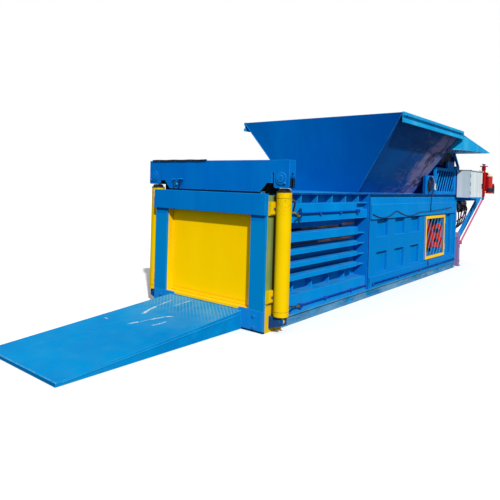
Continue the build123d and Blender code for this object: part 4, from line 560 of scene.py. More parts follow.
CABINET = paint("cabinet_grey", GREYS, (206, 214, 214), (196, 206, 208), (216, 222, 222),
                cabinet_marks, rough=0.4, dust=0.05, grime=0.0, scratch=0.1, sheen=1.3)
STEEL = bare_metal("zinc_steel", (176, 178, 176), (140, 142, 140), 0.32)
CHROME = bare_metal("rod_chrome", (216, 216, 216), (196, 198, 198), 0.12)
FITTING = bare_metal("plated_fitting", (120, 116, 84), (74, 72, 58), 0.35)
WORN = bare_metal("worn_ram_steel", *RAM_STEEL_VALUES)
RAM_STEEL = bare_metal("ram_side_steel", *RAM_STEEL_VALUES, RAM_FRONT_SHADE)
BARREL_SEAM = plain("barrel_seam", (204, 162, 6), (176, 136, 6), 0.4)
COIL = plain("coil_black", (24, 26, 40), (48, 30, 52), 0.4)
SHADE_CURTAIN = plain("dark_curtain_shade", (14, 34, 74), (10, 18, 36), 0.5, grain=60, depth=0.003)
PALE_PIPE = plain("pale_pipe", (176, 178, 200), (140, 146, 180), 0.35)
BRANCH = plain("branch_pipe", (150, 136, 60), (70, 66, 44), 0.4, grain=120)
WHEEL_RED = plain("wheel_red", (170, 46, 60), (136, 30, 46), 0.35)
MAGENTA = plain("rosy_cap", (176, 60, 118), (150, 44, 100), 0.35)
HOSE_BROWN = plain("wrapped_hose", (96, 84, 44), (38, 34, 30), 0.45, grain=90, depth=0.002)
HOSE_NAVY = plain("navy_hose", (10, 44, 96), (6, 28, 66), 0.4, grain=300)
RUBBER = plain("hose_rubber", (20, 20, 24), (34, 34, 40), 0.5, grain=420)
BLACK = plain("black_plastic", (20, 20, 22), (32, 32, 34), 0.42)
DARK_IRON = plain("dark_iron", (40, 46, 60), (26, 30, 44), 0.45, grain=120, depth=0.001)
RED_CAP = plain("red_button", (196, 20, 18), (180, 14, 14), 0.28, coat=0.4)
GREEN_CAP = plain("green_button", (20, 130, 54), (16, 118, 48), 0.28, coat=0.4)
FILTER_RED = plain("filter_red", (186, 22, 24), (168, 14, 18), 0.26, coat=0.5)
CREAM = plain("cream_cap", (226, 214, 176), (210, 198, 160), 0.4)
PALE_BOX = plain("pale_box", (170, 206, 208), (150, 190, 196), 0.4)

FINISHES = {
    "blue": BLUE, "yellow": YELLOW, "red": RED, "cabinet_grey": CABINET, "motor_paint": MOTOR,
    "worn_steel": WORN, "zinc_steel": STEEL, "rod_chrome": CHROME, "hose_rubber": RUBBER,
    "black_plastic": BLACK, "red_plastic": RED_CAP, "green_plastic": GREEN_CAP,
    "guard_blue": GUARD_BLUE, "filter_metal": FILTER_RED,
}
OWN_FINISHES = (
    (FRONT_BLUE, "gate_portal"), (SILL_BLUE, "sill_blocks"), (BEAM_BLUE, "lifting_beam beam_pins"),
    (DARK_BLUE, "foot_brackets foot_pins"), (FRAME_BOLT, "frame_bolts"),
    (BODY_BLUE, "body_side_right body_side_left"), (ROOF_BLUE, "chamber_roof body_roof"),
    (WALL_BLUE, "chamber_wall_right chamber_wall_left"), (WINDOW_YELLOW, "window_guard"),
    (COOLER_BLUE, "cooler_housing"), (RAM_STEEL, "ram_box"), (PIPE_BLUE, "pressure_pipes"),
    (FLANGE_BLUE, "joint_flange"), (GLOWING_RED, "cylinder_flange"), (RAMP_BLUE, "ramp"),
    (CYLINDER_YELLOW, "clamp_blocks gate_barrel_right gate_barrel_left"),
    (COLUMN_YELLOW, "guide_column_right guide_column_left"), (HOPPER_BLUE, "hopper_shell"),
    (RIM_BLUE, "hopper_rim rear_apron"), (PLATFORM_BLUE, "rear_platform"),
    (SKID_BLUE, "base_frame"), (POST_RED, "standpipe"), (DARK_IRON, "valve_handle"),
)


def dress_nodes():
    """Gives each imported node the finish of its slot, or one of its own."""
    own = {node: finish for finish, nodes in OWN_FINISHES for node in nodes.split()}
    for entry in frame["record"]["subparts"]:
        finish = own.get(entry["node"], FINISHES[entry["material_slot"]])
        for slot in NODES[entry["node"]].material_slots:
            slot.material = finish


dress_nodes()
for finish, cords in ((HOSE_BROWN, TOP_HOSES), (HOSE_NAVY, LOW_HOSES + CABLES)):
    for cord in cords:
        cord.data.materials.append(finish)


# Forms made as arrays of points. A skin is a pair of points and faces.

UP, DOWN = (0, 0, 1), (0, 0, -1)
REAR, FRONT = (1, 0, 0), (-1, 0, 0)
LEFT, RIGHT = (0, 1, 0), (0, -1, 0)
SHARP_DEGREES = 35


def ringed(rings, closed=False):
    """Skin over rows of points: each row is a closed ring and each joins the next.

    The first and last rings are filled flat, or joined to each other where closed.
    """
    rings = np.asarray(rings, float)
    rows, columns = rings.shape[:2]
    lower = np.arange(rows * columns).reshape(rows, columns)
    caps = [] if closed else [lower[0][::-1].tolist(), lower[-1].tolist()]
    upper = np.roll(lower, -1, axis=0)
    if not closed:
        lower, upper = lower[:-1], upper[:-1]
    corners = (lower, np.roll(lower, -1, axis=1), np.roll(upper, -1, axis=1), upper)
    return rings.reshape(-1, 3), np.stack(corners, -1).reshape(-1, 4).tolist() + caps


def gathered(skins):
    """Several skins as one, with the face numbers moved on by the points before them."""
    points, faces, start = [], [], 0
    for some_points, some_faces in skins:
        points.append(some_points)
        faces += [[start + corner for corner in face] for face in some_faces]
        start += len(some_points)
    return np.concatenate(points), faces


def mirrored(*skins):
    """Skins and their copies on the other side of the machine."""
    return [*skins, *((points * np.array([1, -1, 1]), faces) for points, faces in skins)]


def across(direction):
    """A direction's unit vector, and two more that are square to it and to each other."""
    direction = np.asarray(direction, float) / np.linalg.norm(direction)
    first = np.cross(UP if abs(direction[2]) < 0.9 else REAR, direction)
    first /= np.linalg.norm(first)
    return direction, first, np.cross(direction, first)


def turned(centre, direction, profile, sides=24, closed=False):
    """Turned form.

    Each row of the profile is a distance along the axis, a radius and, where given, how far the
    ring is a hexagon. At angle u the point is centre + axis * distance + radius * h(u) *
    (first * cos u + second * sin u), and h(u) runs from 1 for a circle to
    cos(30 deg) / cos(u mod 60 deg - 30 deg) for a hexagon.
    """
    axis, first, second = across(direction)
    angle = np.arange(sides) * 2 * np.pi / sides
    flat = np.cos(np.pi / 6) / np.cos(np.mod(angle, np.pi / 3) - np.pi / 6)
    rows = []
    for distance, radius, *hexagon in profile:
        share = hexagon[0] if hexagon else 0.0
        reach = radius * (1 - share + share * flat)
        circle = np.outer(np.cos(angle) * reach, first) + np.outer(np.sin(angle) * reach, second)
        rows.append(np.asarray(centre, float) + axis * distance + circle)
    return ringed(rows, closed)


def bolt(centre, direction, size):
    """Washer and six-sided head with a turned chamfer."""
    return turned(centre, direction, [
        (0, size * 1.25), (size * 0.14, size * 1.25), (size * 0.18, size * 1.18),
        (size * 0.18, size, 1), (size * 0.68, size, 1), (size * 0.8, size * 0.86, 0.4),
        (size * 0.8, size * 0.3)])


def nut(centre, direction, size, length):
    """Long hose nut: six flats, chamfered at both ends."""
    return turned(centre, direction, [
        (0, size * 0.8), (length * 0.1, size, 1), (length * 0.9, size, 1), (length, size * 0.8)])


def ferrule(centre, direction, waist, length):
    """Crimped hose sleeve with a waist, and a collar beyond it."""
    return turned(centre, direction, [
        (0, 0.011), (0.002, 0.014), (waist, 0.0145), (waist + 0.004, 0.0128),
        (waist + 0.008, 0.0145), (length - 0.003, 0.014), (length, 0.0106)])


def ring(centre, direction, radius, thickness, sides=48, rounds=8, squash=1.0):
    """Wire or cast ring: a small circle of points carried round a large one."""
    angle = np.arange(rounds) * 2 * np.pi / rounds
    profile = [(math.sin(a) * thickness * squash, radius + math.cos(a) * thickness) for a in angle]
    return turned(centre, direction, profile, sides, closed=True)


def softened(route, reach, steps=7):
    """Route whose corners are curves: (1-t)^2 A + 2t(1-t) B + t^2 C between points at a reach."""
    route = np.asarray(route, float)
    points = [route[:1]]
    share = np.linspace(0, 1, steps)[:, None]
    for before, corner, after in zip(route, route[1:], route[2:]):
        start, end = (corner + (other - corner) * min(reach / np.linalg.norm(other - corner), 0.48)
                      for other in (before, after))
        points.append((1 - share) ** 2 * start + 2 * share * (1 - share) * corner + share ** 2 * end)
    return np.concatenate([*points, route[-1:]])


def carried(route, radius, sides=12, wave=None):
    """Round bar along a route; the frame at each point is the last one turned no more than needed.

    With a wave (length, share), the radius is radius * (1 + share * |sin(pi * way / length)|).
    """
    route = np.asarray(route, float)
    way = np.concatenate([[0], np.cumsum(np.linalg.norm(np.diff(route, axis=0), axis=1))])
    ahead = np.gradient(route, axis=0)
    ahead /= np.linalg.norm(ahead, axis=1)[:, None]
    reach = np.full(len(route), float(radius))
    if wave is not None:
        reach *= 1 + wave[1] * np.abs(np.sin(np.pi * way / wave[0]))
    angle = np.arange(sides) * 2 * np.pi / sides
    side = across(ahead[0])[1]
    rows = []
    for place, forward, size in zip(route, ahead, reach):
        side = side - forward * side.dot(forward)
        side /= np.linalg.norm(side)
        up = np.cross(forward, side)
        rows.append(place + size * (np.outer(np.cos(angle), side) + np.outer(np.sin(angle), up)))
    return ringed(rows)


def seam(start, end, radius=0.005, pitch=0.02):
    """Weld bead: a bar along a line whose radius swells once a pitch."""
    start, end = np.asarray(start, float), np.asarray(end, float)
    count = max(int(np.linalg.norm(end - start) / pitch * 4), 4)
    route = start + (end - start) * np.linspace(0, 1, count + 1)[:, None]
    return carried(route, radius, 6, (pitch, 0.35))


def plate(outline, origin, first, second, thickness, edge=0.002):
    """Flat plate: its outline, drawn in at both faces by a small bevel."""
    outline = np.asarray(outline, float)
    middle = outline.mean(axis=0)
    size = np.abs(outline - middle).max()
    inner = middle + (outline - middle) * (1 - edge / size)
    normal = np.cross(first, second)
    return ringed([origin + form @ np.array([first, second]) + normal * depth for form, depth in (
        (inner, 0), (outline, edge), (outline, thickness - edge), (inner, thickness))])


def cut_block(low, high, edge=0.002):
    """Block with bevelled edges and corners."""
    wide, deep, tall = np.subtract(high, low)
    outline = [(edge, 0), (wide - edge, 0), (wide, edge), (wide, deep - edge), (wide - edge, deep),
               (edge, deep), (0, deep - edge), (0, edge)]
    return plate(outline, low, REAR, LEFT, tall, edge)


def add_piece(name, skins, finish, body="frame", replaces=()):
    """One piece of the object from its skins, on one body and finish."""
    points, faces = gathered(skins)
    mesh = bpy.data.meshes.new(name)
    mesh.from_pydata(points.tolist(), [], faces)
    work = bmesh.new()
    work.from_mesh(mesh)
    bmesh.ops.recalc_face_normals(work, faces=work.faces)
    work.to_mesh(mesh)
    work.free()
    mesh.materials.append(finish)
    mesh.polygons.foreach_set("use_smooth", [True] * len(mesh.polygons))
    mesh.set_sharp_from_angle(angle=math.radians(SHARP_DEGREES))
    piece = bpy.data.objects.new(name, mesh)
    bpy.context.collection.objects.link(piece)
    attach(piece, body)
    if replaces:
        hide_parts(*replaces)


# Gate cylinders and beam

CYLINDER = np.array((0.127, 0.954, 0.0))
BEAM_FACE = 0.057


def add_cylinder_details():
    """Glands, end welds, hose fittings, check valves and branch pipes of the two gate cylinders."""
    gland = turned(CYLINDER + (0, 0, 1.426), UP, [
        (0.000, 0.0775), (0.006, 0.0805), (0.012, 0.0775), (0.012, 0.064), (0.030, 0.062),
        (0.040, 0.052), (0.040, 0.036), (0.000, 0.036)], 40, closed=True)
    add_piece("cylinder_glands", mirrored(gland), BLACK)
    welds = [ring(CYLINDER + (0, 0, z), UP, 0.0775, 0.0022, 56) for z in (0.236, 1.372)]
    add_piece("barrel_weld_rings", mirrored(*welds), BARREL_SEAM)
    fittings = []
    for route in (TOP_HOSE, LOW_HOSE):
        start, end = np.array(route[0]), np.array(route[-1]) - (0.026, 0, 0)
        fittings += [nut(start - (0.022, 0, 0), REAR, 0.0185, 0.026),
                     ferrule(start + (0.002, 0, 0), REAR, 0.030, 0.049),
                     nut(end, REAR, 0.0175, 0.024), ferrule(end, FRONT, 0.026, 0.043)]
    add_piece("hose_fittings", mirrored(*fittings), FITTING)
    valve = turned((0.610, 0.838, 1.118), UP, [
        (0, 0.010), (0.004, 0.017, 1), (0.030, 0.017, 1), (0.034, 0.012), (0.040, 0.021),
        (0.096, 0.021), (0.102, 0.012), (0.108, 0.017, 1), (0.132, 0.017, 1), (0.138, 0.010)])
    add_piece("check_valves", mirrored(valve), DARK_BLUE)
    route = [(0.206, 0.972, 1.226), (0.300, 0.972, 1.222), (0.420, 0.930, 1.176),
             (0.520, 0.858, 1.168), (0.606, 0.838, 1.170)]
    boss = nut((0.196, 0.972, 1.226), REAR, 0.016, 0.026)
    add_piece("branch_pipes", mirrored(carried(softened(route, 0.07), 0.0085), boss), BRANCH)


def add_beam_details():
    """Black strip on the beam's edge, which waves by 1.5 mm, pin keepers, and two small stops, painted dark
    as shade, with light caps as a painted highlight on their tops.
    """
    section = np.array([(0.050, 1.752), (0.074, 1.752), (0.074, 1.760), (0.068, 1.765),
                        (0.056, 1.765), (0.050, 1.760)])
    rows = [[(x, y, z + 0.0015 * math.sin(y * 23)) for x, z in section]
            for y in np.linspace(0.08, 0.985, 40)]
    add_piece("beam_edge_strip", [ringed(rows)], BLACK, "gate")
    keepers = mirrored(ring((0.052, CYLINDER[1], 1.566), REAR, 0.034, 0.005, 36, squash=0.6),
                       bolt((0.056, CYLINDER[1] + 0.052, 1.522), FRONT, 0.010))
    add_piece("pin_keepers", keepers, BEAM_BLUE, "gate")
    # Painted shade: the stops are dark blue.
    stops = [plate([(0, 0), (0.012, 0), (0.066, 0.096), (0, 0.096)], (BEAM_FACE, 0.512, 1.440),
                   RIGHT, UP, 0.012),
             plate([(0, 0), (0.022, 0), (0.022, 0.100), (0, 0.100)], (BEAM_FACE, 0.596, 1.436),
                   RIGHT, UP, 0.014)]
    add_piece("beam_stops", stops, DARK_BLUE, "gate")
    # Painted highlight: the caps on the stops' tops are a lighter blue.
    caps = [cut_block((0.034, 0.440, 1.536), (0.058, 0.516, 1.543)),
            cut_block((0.034, 0.566, 1.532), (0.058, 0.612, 1.539)),
            bolt((BEAM_FACE, 0.545, 1.480), FRONT, 0.012)]
    add_piece("beam_stop_lit_caps", caps, RIM_BLUE, "gate")


# Hopper

FOOT_FRONT, FOOT_REAR, FOOT_Y, FOOT_Z = 2.482, 4.538, 0.559, 1.424
MOUTH_FRONT, MOUTH_REAR, MOUTH_Y, MOUTH_Z = 2.197, 4.766, 1.305, 2.470
APRON_LOW = 2.180


def add_hopper_details():
    """Corner and foot welds of the hopper, and its rim's bolts."""
    welds = [seam((foot, FOOT_Y, FOOT_Z), (mouth, MOUTH_Y, MOUTH_Z), 0.006)
             for foot, mouth in ((FOOT_FRONT, MOUTH_FRONT), (FOOT_REAR, MOUTH_REAR))]
    welds.append(seam((FOOT_FRONT, 0.561, 1.422), (FOOT_REAR, 0.561, 1.422), 0.006, 0.03))
    front = seam((2.480, -0.55, 1.422), (2.480, 0.55, 1.422))
    add_piece("hopper_welds", mirrored(*welds) + [front], HOPPER_BLUE)
    heads = [bolt((x, 1.3325, 2.445), LEFT, 0.0085) for x in np.arange(2.30, 4.74, 0.0726)]
    add_piece("rim_bolts", mirrored(*heads), BOLT_BLUE)


def add_apron_details():
    """The apron's two cheeks, a torn dark curtain under its right edge, hung as painted shade where there
    is only shade, and a conduit beside it.

    The curtain's foot is a sine wave along X, and its folds are two more, wider towards the foot.
    """
    cheek = []
    for share in (0.0, 1.0):
        rear = np.array([4.7661 - 0.0645 * (1 - share), MOUTH_Y - 0.211 * (1 - share),
                         APRON_LOW + 0.300 * share])
        front = np.array([4.798 + 0.071 * share, 1.304, APRON_LOW + 0.254 * share])
        cheek.append([rear, front, front + (0, -0.008, 0), rear + (0.004, -0.010, 0)])
    add_piece("apron_cheeks", mirrored(ringed(cheek)), RIM_BLUE)
    along = np.linspace(4.80, 6.215, 116)
    top = APRON_LOW + 0.056 * (along - 4.79) / 1.763 - 0.002
    foot = 1.960 + 0.012 * np.sin(along * 31)
    fold = 0.012 * np.sin(along * 57) + 0.006 * np.sin(along * 131)
    middle = (top + foot) / 2
    section = ((-0.748, 0, top), (-0.752, 0.6, middle), (-0.752, 1, foot), (-0.747, 1, foot),
               (-0.747, 0.6, middle), (-0.743, 0, top))
    rows = np.stack([np.stack([along, y + share * fold, z], -1) for y, share, z in section], 1)
    # The curtain is dark: painted shade under the apron.
    add_piece("apron_curtain", [ringed(rows)], SHADE_CURTAIN)
    route = [(4.560 + 0.036 * step, -1.12 - 0.004 * step, 2.168 + 0.012 * math.sin(step * 1.7))
             for step in range(12)]
    add_piece("apron_conduit", [carried(softened(route, 0.015, 4), 0.010, 10, (0.008, 0.25))],
              BLACK)


# Rear platform

POST = np.array((7.05, -1.08, 0.0))
FILTER = np.array((7.12, -1.18, 0.0))
COIL_PLACES = (6.620, 6.720, 6.820, 6.920)
MANIFOLD_FACE = -0.790
DARK_RUNS = (
    [(6.62, -0.800, 1.19), (6.62, -0.826, 1.19), (6.50, -0.826, 1.05), (6.44, -0.80, 0.82),
     (6.40, -0.74, 0.72)],
    [(6.70, -0.800, 1.19), (6.70, -0.836, 1.17), (6.58, -0.840, 0.98), (6.50, -0.80, 0.80),
     (6.38, -0.70, 0.70)],
    [(6.78, -0.800, 1.19), (6.78, -0.846, 1.16), (6.70, -0.850, 1.00), (6.56, -0.84, 0.86),
     (6.40, -0.80, 0.78)],
    [(6.86, -0.800, 1.19), (6.86, -0.834, 1.12), (6.80, -0.82, 1.06), (6.68, -0.78, 0.94),
     (6.46, -0.70, 0.84), (6.34, -0.62, 0.82)],
    [(6.30, -0.74, 1.288), (6.30, -0.80, 1.24), (6.34, -0.82, 1.05), (6.40, -0.80, 0.90),
     (6.38, -0.76, 0.74)])
PALE_RUNS = (
    [(6.42, -0.70, 1.288), (6.42, -0.79, 1.24), (6.47, -0.80, 1.12), (6.56, -0.76, 1.16),
     (6.60, -0.72, 1.20)],
    [(6.24, -0.70, 1.288), (6.24, -0.79, 1.20), (6.26, -0.80, 1.00), (6.32, -0.78, 0.84),
     (6.36, -0.70, 0.72)])


def add_post_details():
    """Channel and nuts of the valve post, and the filter's cap, cup and bands."""
    channel = [cut_block((7.070, -1.162, 1.492), (7.082, -1.084, 1.880)),
               cut_block((7.024, -1.104, 1.386), (7.030, -1.056, 1.900)),
               cut_block((7.026, -1.1085, 1.386), (7.078, -1.1025, 1.900)),
               cut_block((7.026, -1.0575, 1.386), (7.078, -1.0515, 1.900))]
    add_piece("post_channel", channel, POST_RED)
    collar = turned(POST + (0, 0, 1.932), UP, [(0, 0.039), (0.004, 0.043), (0.014, 0.043), (0.018, 0.039)],
                    32)
    nuts = [nut(POST + (0, 0, 1.902), UP, 0.036, 0.026), nut(POST + (0.118, 0, 1.870), REAR, 0.026, 0.026)]
    add_piece("post_nuts", [collar, *nuts], POST_RED)
    cap = turned(FILTER + (0, 0, 1.800), UP, [
        (0, 0.050), (0.002, 0.060), (0.020, 0.060), (0.024, 0.055), (0.026, 0.046), (0.048, 0.043),
        (0.054, 0.036), (0.055, 0.010)], 40)
    add_piece("filter_cap", [cap], CREAM)
    cup = turned(FILTER + (0, 0, 1.452), UP, [
        (0, 0.050), (0.003, 0.061), (0.030, 0.064), (0.110, 0.062), (0.114, 0.058)], 40)
    bracket = plate([(0, 0), (0.102, 0), (0.102, 0.150), (0.060, 0.190), (0.034, 0.060), (0, 0.040)],
                    (7.112, -1.2485, 1.452), REAR, UP, 0.008)
    add_piece("filter_bracket", [cup, bracket], DARK_IRON)
    bands = [ring(FILTER + (0, 0, z), UP, 0.0565, 0.0028) for z in (1.600, 1.758)]
    add_piece("filter_bands", bands, FILTER_RED)


def add_hand_wheel():
    """Hand wheel under the valve's T bar: rim, hub and four spokes."""
    centre = POST + (0, 0, 2.006)
    hub = [(-0.014, 0.018), (-0.010, 0.024), (0.010, 0.024), (0.014, 0.018)]
    parts = [ring(centre, UP, 0.070, 0.009, 44, 10), turned(centre, UP, hub)]
    for angle in np.arange(4) * math.pi / 2 + 0.4:
        reach = np.array([math.cos(angle), math.sin(angle), 0])
        parts.append(carried([centre + reach * part for part in (0.015, 0.04, 0.069)], 0.006, 8))
    add_piece("valve_wheel", parts, WHEEL_RED, "valve")


def add_cabinet_details():
    """Rain lip, lid seal, hinges and cable glands of the cabinet."""
    lip = [cut_block((6.058, -1.118, 1.889), (6.902, -0.846, 1.897)),
           cut_block((6.058, -1.120, 1.879), (6.902, -1.1125, 1.892))]
    add_piece("cabinet_lip", lip, CABINET)
    seal = cut_block((6.56, -1.1225, 1.8905), (6.904, -1.098, 1.9005))
    add_piece("cabinet_seal", [seal], BLACK)
    hinges = [turned((6.068, -1.106, z), UP, [
        (0, 0.004), (0.002, 0.0065), (0.019, 0.0065), (0.020, 0.0055), (0.021, 0.0065),
        (0.039, 0.0065), (0.040, 0.0055), (0.041, 0.0065), (0.058, 0.0065), (0.060, 0.004)], 16)
        for z in (1.440, 1.600, 1.760)]
    add_piece("cabinet_hinges", hinges, CABINET)
    glands = [turned((x, -0.98, 1.366), DOWN, [
        (0, 0.020), (0.004, 0.020), (0.004, 0.017, 1), (0.016, 0.017, 1), (0.018, 0.014),
        (0.030, 0.012), (0.031, 0.006)]) for x in (6.20, 6.30, 6.40, 6.50)]
    add_piece("cabinet_glands", glands, BLACK)


def add_manifold():
    """Valve block with its hangers, bolts and coils, under the platform."""
    body = [cut_block((6.560, MANIFOLD_FACE, 1.130), (6.960, -0.640, 1.275), 0.006),
            cut_block((6.600, -0.800, 1.080), (6.900, -0.660, 1.132), 0.005)]
    body += [bolt((x, MANIFOLD_FACE, z), RIGHT, 0.011) for x in COIL_PLACES for z in (1.225, 1.165)]
    body += [cut_block((x, -0.780, 1.270), (x + 0.012, -0.650, 1.296)) for x in (6.60, 6.91)]
    add_piece("valve_manifold", body, DARK_IRON)
    coils = [turned((x, -0.715, 1.130), DOWN, [
        (0, 0.030), (0.004, 0.034), (0.052, 0.034), (0.056, 0.026), (0.060, 0.016), (0.078, 0.014),
        (0.082, 0.008)]) for x in COIL_PLACES]
    add_piece("manifold_coils", coils, COIL)


def add_manifold_pipes():
    """Pipes between the valve block, the platform and the rear leg, with rosy nuts and sleeves."""
    for name, runs, reach, radius, finish, slot in (
            ("manifold_pipes", DARK_RUNS, 0.06, 0.0125, DARK_IRON, "black_plastic"),
            ("drain_pipes", PALE_RUNS, 0.05, 0.0095, PALE_PIPE, "zinc_steel")):
        add_piece(name, [carried(softened(run, reach), radius) for run in runs], finish)
    side_runs, *top_runs = DARK_RUNS[:4], DARK_RUNS[4], *PALE_RUNS
    nuts = [nut(run[0] + np.array((0, 0.012, 0)), RIGHT, 0.019, 0.026) for run in side_runs]
    nuts += [nut(run[0], DOWN, 0.018, 0.024) for run in top_runs]
    add_piece("manifold_nuts", nuts, MAGENTA)
    sleeves = [turned(run[2], np.subtract(run[3], run[2]),
                      [(0, 0.0125), (0.003, 0.0165), (0.034, 0.0165), (0.037, 0.0125)], 20)
               for run in side_runs]
    add_piece("pipe_sleeves", sleeves, MAGENTA)


def add_tank_details():
    """Lid bolts, sight glass and filler cap of the oil tank."""
    places = [(x, y) for x in np.linspace(6.28, 7.74, 8) for y in (0.056, 0.684)]
    places += [(x, y) for x in (6.242, 7.778) for y in (0.21, 0.37, 0.53)]
    add_piece("lid_bolts", [bolt((x, y, 1.800), UP, 0.011) for x, y in places], STEEL)
    glass = turned((7.40, 0.060, 1.60), RIGHT, [
        (0, 0.046), (0.006, 0.046), (0.010, 0.042), (0.010, 0.034), (0.006, 0.032), (0.006, 0.004)], 32)
    add_piece("sight_glass", [glass], PALE_BOX)
    filler = turned((6.44, 0.25, 1.850), UP, [
        (0, 0.046), (0.002, 0.056), (0.022, 0.056), (0.026, 0.050), (0.028, 0.020), (0.036, 0.018),
        (0.038, 0.010)], 40)
    add_piece("filler_cap", [filler, ring((6.44, 0.25, 1.866), UP, 0.047, 0.004)], BLACK)


def add_leg_details():
    """Bolts on the rear legs and the foot plates under them."""
    heads = [bolt((6.40, 0.830, z), LEFT, 0.014) for z in (0.10, 0.38, 0.56)]
    add_piece("leg_bolts", mirrored(*heads), DARK_IRON)
    foot = cut_block((6.320, 0.712, 0.0), (6.460, 0.848, 0.014), 0.003)
    add_piece("leg_feet", mirrored(foot), SKID_BLUE)


# Cooler and window

FAN = np.array((4.64, -0.8525, 1.58))
WINDOW_FLOOR, WINDOW_TOP, WINDOW_FRONT, WINDOW_REAR = 0.340, 1.000, 4.575, 5.474
BAR_WIDTH, BAR_PITCH, FIRST_FOOT, BAR_COUNT = 0.013, 0.160, 4.300, 8
BAR_LEAN = math.tan(math.radians(32))
PLATE_FACE = 5.4435


def add_cooler_details():
    """Wire guard in front of the fan, a pale arc on it as a painted highlight, and the pale cover of the
    junction box.
    """
    radii = (0.034, 0.064, 0.094, 0.124, 0.150)
    wires = [ring(FAN, LEFT, radius, 0.0022, rounds=6) for radius in radii]
    for angle in np.arange(4) * math.pi / 4 + 0.3:
        reach = np.array([math.cos(angle), 0, math.sin(angle)]) * 0.152
        spoke = [FAN - (0, 0.002, 0) + reach * part for part in (-1, -0.3, 0.3, 1)]
        wires.append(carried(spoke, 0.003, 8))
    add_piece("fan_wires", wires, DARK_IRON)
    # Painted highlight: a pale arc over part of the wire guard.
    angle = np.linspace(-0.5, 1.5, 30)
    arc = FAN + (0, -0.0045, 0) + 0.150 * np.stack([np.cos(angle), np.zeros(30), np.sin(angle)], -1)
    add_piece("fan_highlight_arc", [carried(arc, 0.0045, 8)], PALE_PIPE)
    cover = [cut_block((4.7985, -0.861, 1.4925), (4.8615, -0.8525, 1.6065), 0.003)]
    cover += [bolt((x, -0.861, z), RIGHT, 0.0045) for x in (4.807, 4.853) for z in (1.502, 1.597)]
    add_piece("junction_cover", cover, PALE_BOX)


def add_window_bars():
    """Thin flat bars across the window: x = foot + rise * BAR_LEAN, cut off where the frame ends."""
    bars = []
    for index in range(BAR_COUNT):
        foot = FIRST_FOOT + index * BAR_PITCH
        start = max(0.0, (WINDOW_FRONT - BAR_WIDTH - foot) / BAR_LEAN)
        end = min(WINDOW_TOP - WINDOW_FLOOR, (WINDOW_REAR - foot) / BAR_LEAN)
        outline = [(foot + wide + rise * BAR_LEAN, WINDOW_FLOOR + rise) for wide, rise in (
            (0, start), (BAR_WIDTH, start), (BAR_WIDTH, end), (0, end))]
        bars.append(plate(outline, (0, -0.807, 0), REAR, UP, 0.007, 0.0015))
    add_piece("window_thin_bars", bars, BAR_BLUE, "guard", ("window_bars",))


def add_window_plate():
    """Red plate bolted in the window's rear reveal, with its bolts and two dark round covers."""
    outline = [(0, 0), (0.186, 0), (0.186, 0.400), (0.150, 0.440), (0, 0.440)]
    skins = [plate(outline, (5.453, -0.600, 0.430), RIGHT, UP, 0.010)]
    places = [(PLATE_FACE, y, z) for y in (-0.625, -0.765) for z in (0.455, 0.65, 0.82)]
    skins += [bolt(place, FRONT, 0.011) for place in places]
    add_piece("window_plate", skins, PLATE_RED)
    covers = [turned((PLATE_FACE, -0.695, z), FRONT, [
        (0, radius), (0.004, radius), (0.008, radius * 0.94), (0.009, radius * 0.6),
        (0.005, radius * 0.5), (0.005, 0.004)], 32) for z, radius in ((0.74, 0.045), (0.56, 0.036))]
    add_piece("window_covers", covers, DARK_IRON)


def add_cable_splice():
    """Sleeve where the cooler's cable joins the one under the rail, and a short lead by the base."""
    sleeve = carried([(4.700, -0.8375, z) for z in (1.190, 1.160, 1.118)], 0.0095, 14, (0.012, 0.15))
    lead = [(4.628, -0.838, 0.296), (4.630, -0.846, 0.270), (4.632, -0.842, 0.220), (4.634, -0.842, 0.196)]
    add_piece("cable_splice", [sleeve, carried(softened(lead, 0.02), 0.006, 10)], HOSE_NAVY)


# Chamber sides and ramp

def add_wear_strips():
    """Bare strips in the chamber's upper side openings, and a dark one before the lower of them as painted
    shade.
    """
    bare = [cut_block((1.34, 0.6195, 0.806), (2.30, 0.624, 0.836), 0.0015),
            cut_block((1.95, 0.6195, 0.996), (2.30, 0.624, 1.024), 0.0015)]
    add_piece("wear_strips", mirrored(*bare), WORN)
    # Painted shade: a dark strip where the opening lies in shadow.
    dark = cut_block((0.30, 0.6195, 0.806), (1.338, 0.623, 0.830), 0.0015)
    add_piece("shade_strips", mirrored(dark), DARK_IRON)


def add_ramp_details():
    """Side seams of the ramp."""
    weld = seam((-2.02, 0.5465, 0.022), (-0.03, 0.5465, 0.150), 0.0035, 0.024)
    add_piece("ramp_seams", mirrored(weld), RAMP_BLUE)


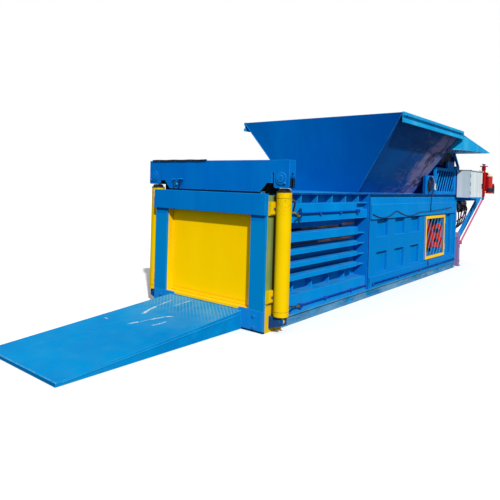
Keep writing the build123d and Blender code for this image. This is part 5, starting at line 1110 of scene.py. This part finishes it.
for add_some in (add_cylinder_details, add_beam_details, add_hopper_details, add_apron_details,
                 add_post_details, add_hand_wheel, add_cabinet_details, add_manifold, add_manifold_pipes,
                 add_tank_details, add_leg_details, add_cooler_details, add_window_bars, add_window_plate,
                 add_cable_splice, add_wear_strips, add_ramp_details):
    add_some()


# Floor, world and lamp

FLOOR_HALF, FLOOR_Z = 60, -0.002
FLOOR_GREY, FLOOR_WHITE = (112, 112, 112), (250, 250, 250)
AMBIENT = 0.47
SUN_PLACE, SUN_STRENGTH, SUN_DEGREES = (-5.0, -6.4, 5.8), 4.05, 1.5


def add_floor():
    """Pale floor that keeps the shadow, and that throws little light up at the object."""
    mesh = bpy.data.meshes.new("floor")
    corners = ((-1, -1), (1, -1), (1, 1), (-1, 1))
    mesh.from_pydata([(x * FLOOR_HALF, y * FLOOR_HALF, FLOOR_Z) for x, y in corners], [], [(0, 1, 2, 3)])
    floor = bpy.data.objects.new("floor", mesh)
    bpy.context.collection.objects.link(floor)
    graph = Graph(bpy.data.materials.new("pale_floor"))
    colour = graph.mix(graph.seen(), linear(*FLOOR_GREY), linear(*FLOOR_WHITE))
    graph.set(Base_Color=colour, Roughness=0.9, Specular_IOR_Level=0.0)
    mesh.materials.append(graph.owner)


def add_world():
    """Soft surround that shows as white to the camera, in reflections and through glass."""
    world = bpy.data.worlds.new("surround")
    bpy.context.scene.world = world
    graph = Graph(world)
    graph.tree.nodes.clear()
    mix = graph.node("MixShader", Fac=graph.seen())
    for socket, strength in zip(mix.inputs[1:], (AMBIENT, 1.0)):
        graph.feed(socket, graph.node("Background", Color=(1, 1, 1, 1), Strength=strength).outputs[0])
    graph.node("OutputWorld", Surface=mix.outputs[0])


def add_sun():
    """Sun from the front right, above the camera, aimed at the foot of the gate."""
    data = bpy.data.lights.new("key", "SUN")
    data.energy = SUN_STRENGTH
    data.angle = math.radians(SUN_DEGREES)
    sun = bpy.data.objects.new("key", data)
    sun.location = SUN_PLACE
    sun.rotation_mode = "QUATERNION"
    sun.rotation_quaternion = (-Vector(SUN_PLACE)).to_track_quat("-Z", "Y")
    bpy.context.collection.objects.link(sun)


add_floor()
add_world()
add_sun()

bpy.context.scene.view_settings.view_transform = "Standard"
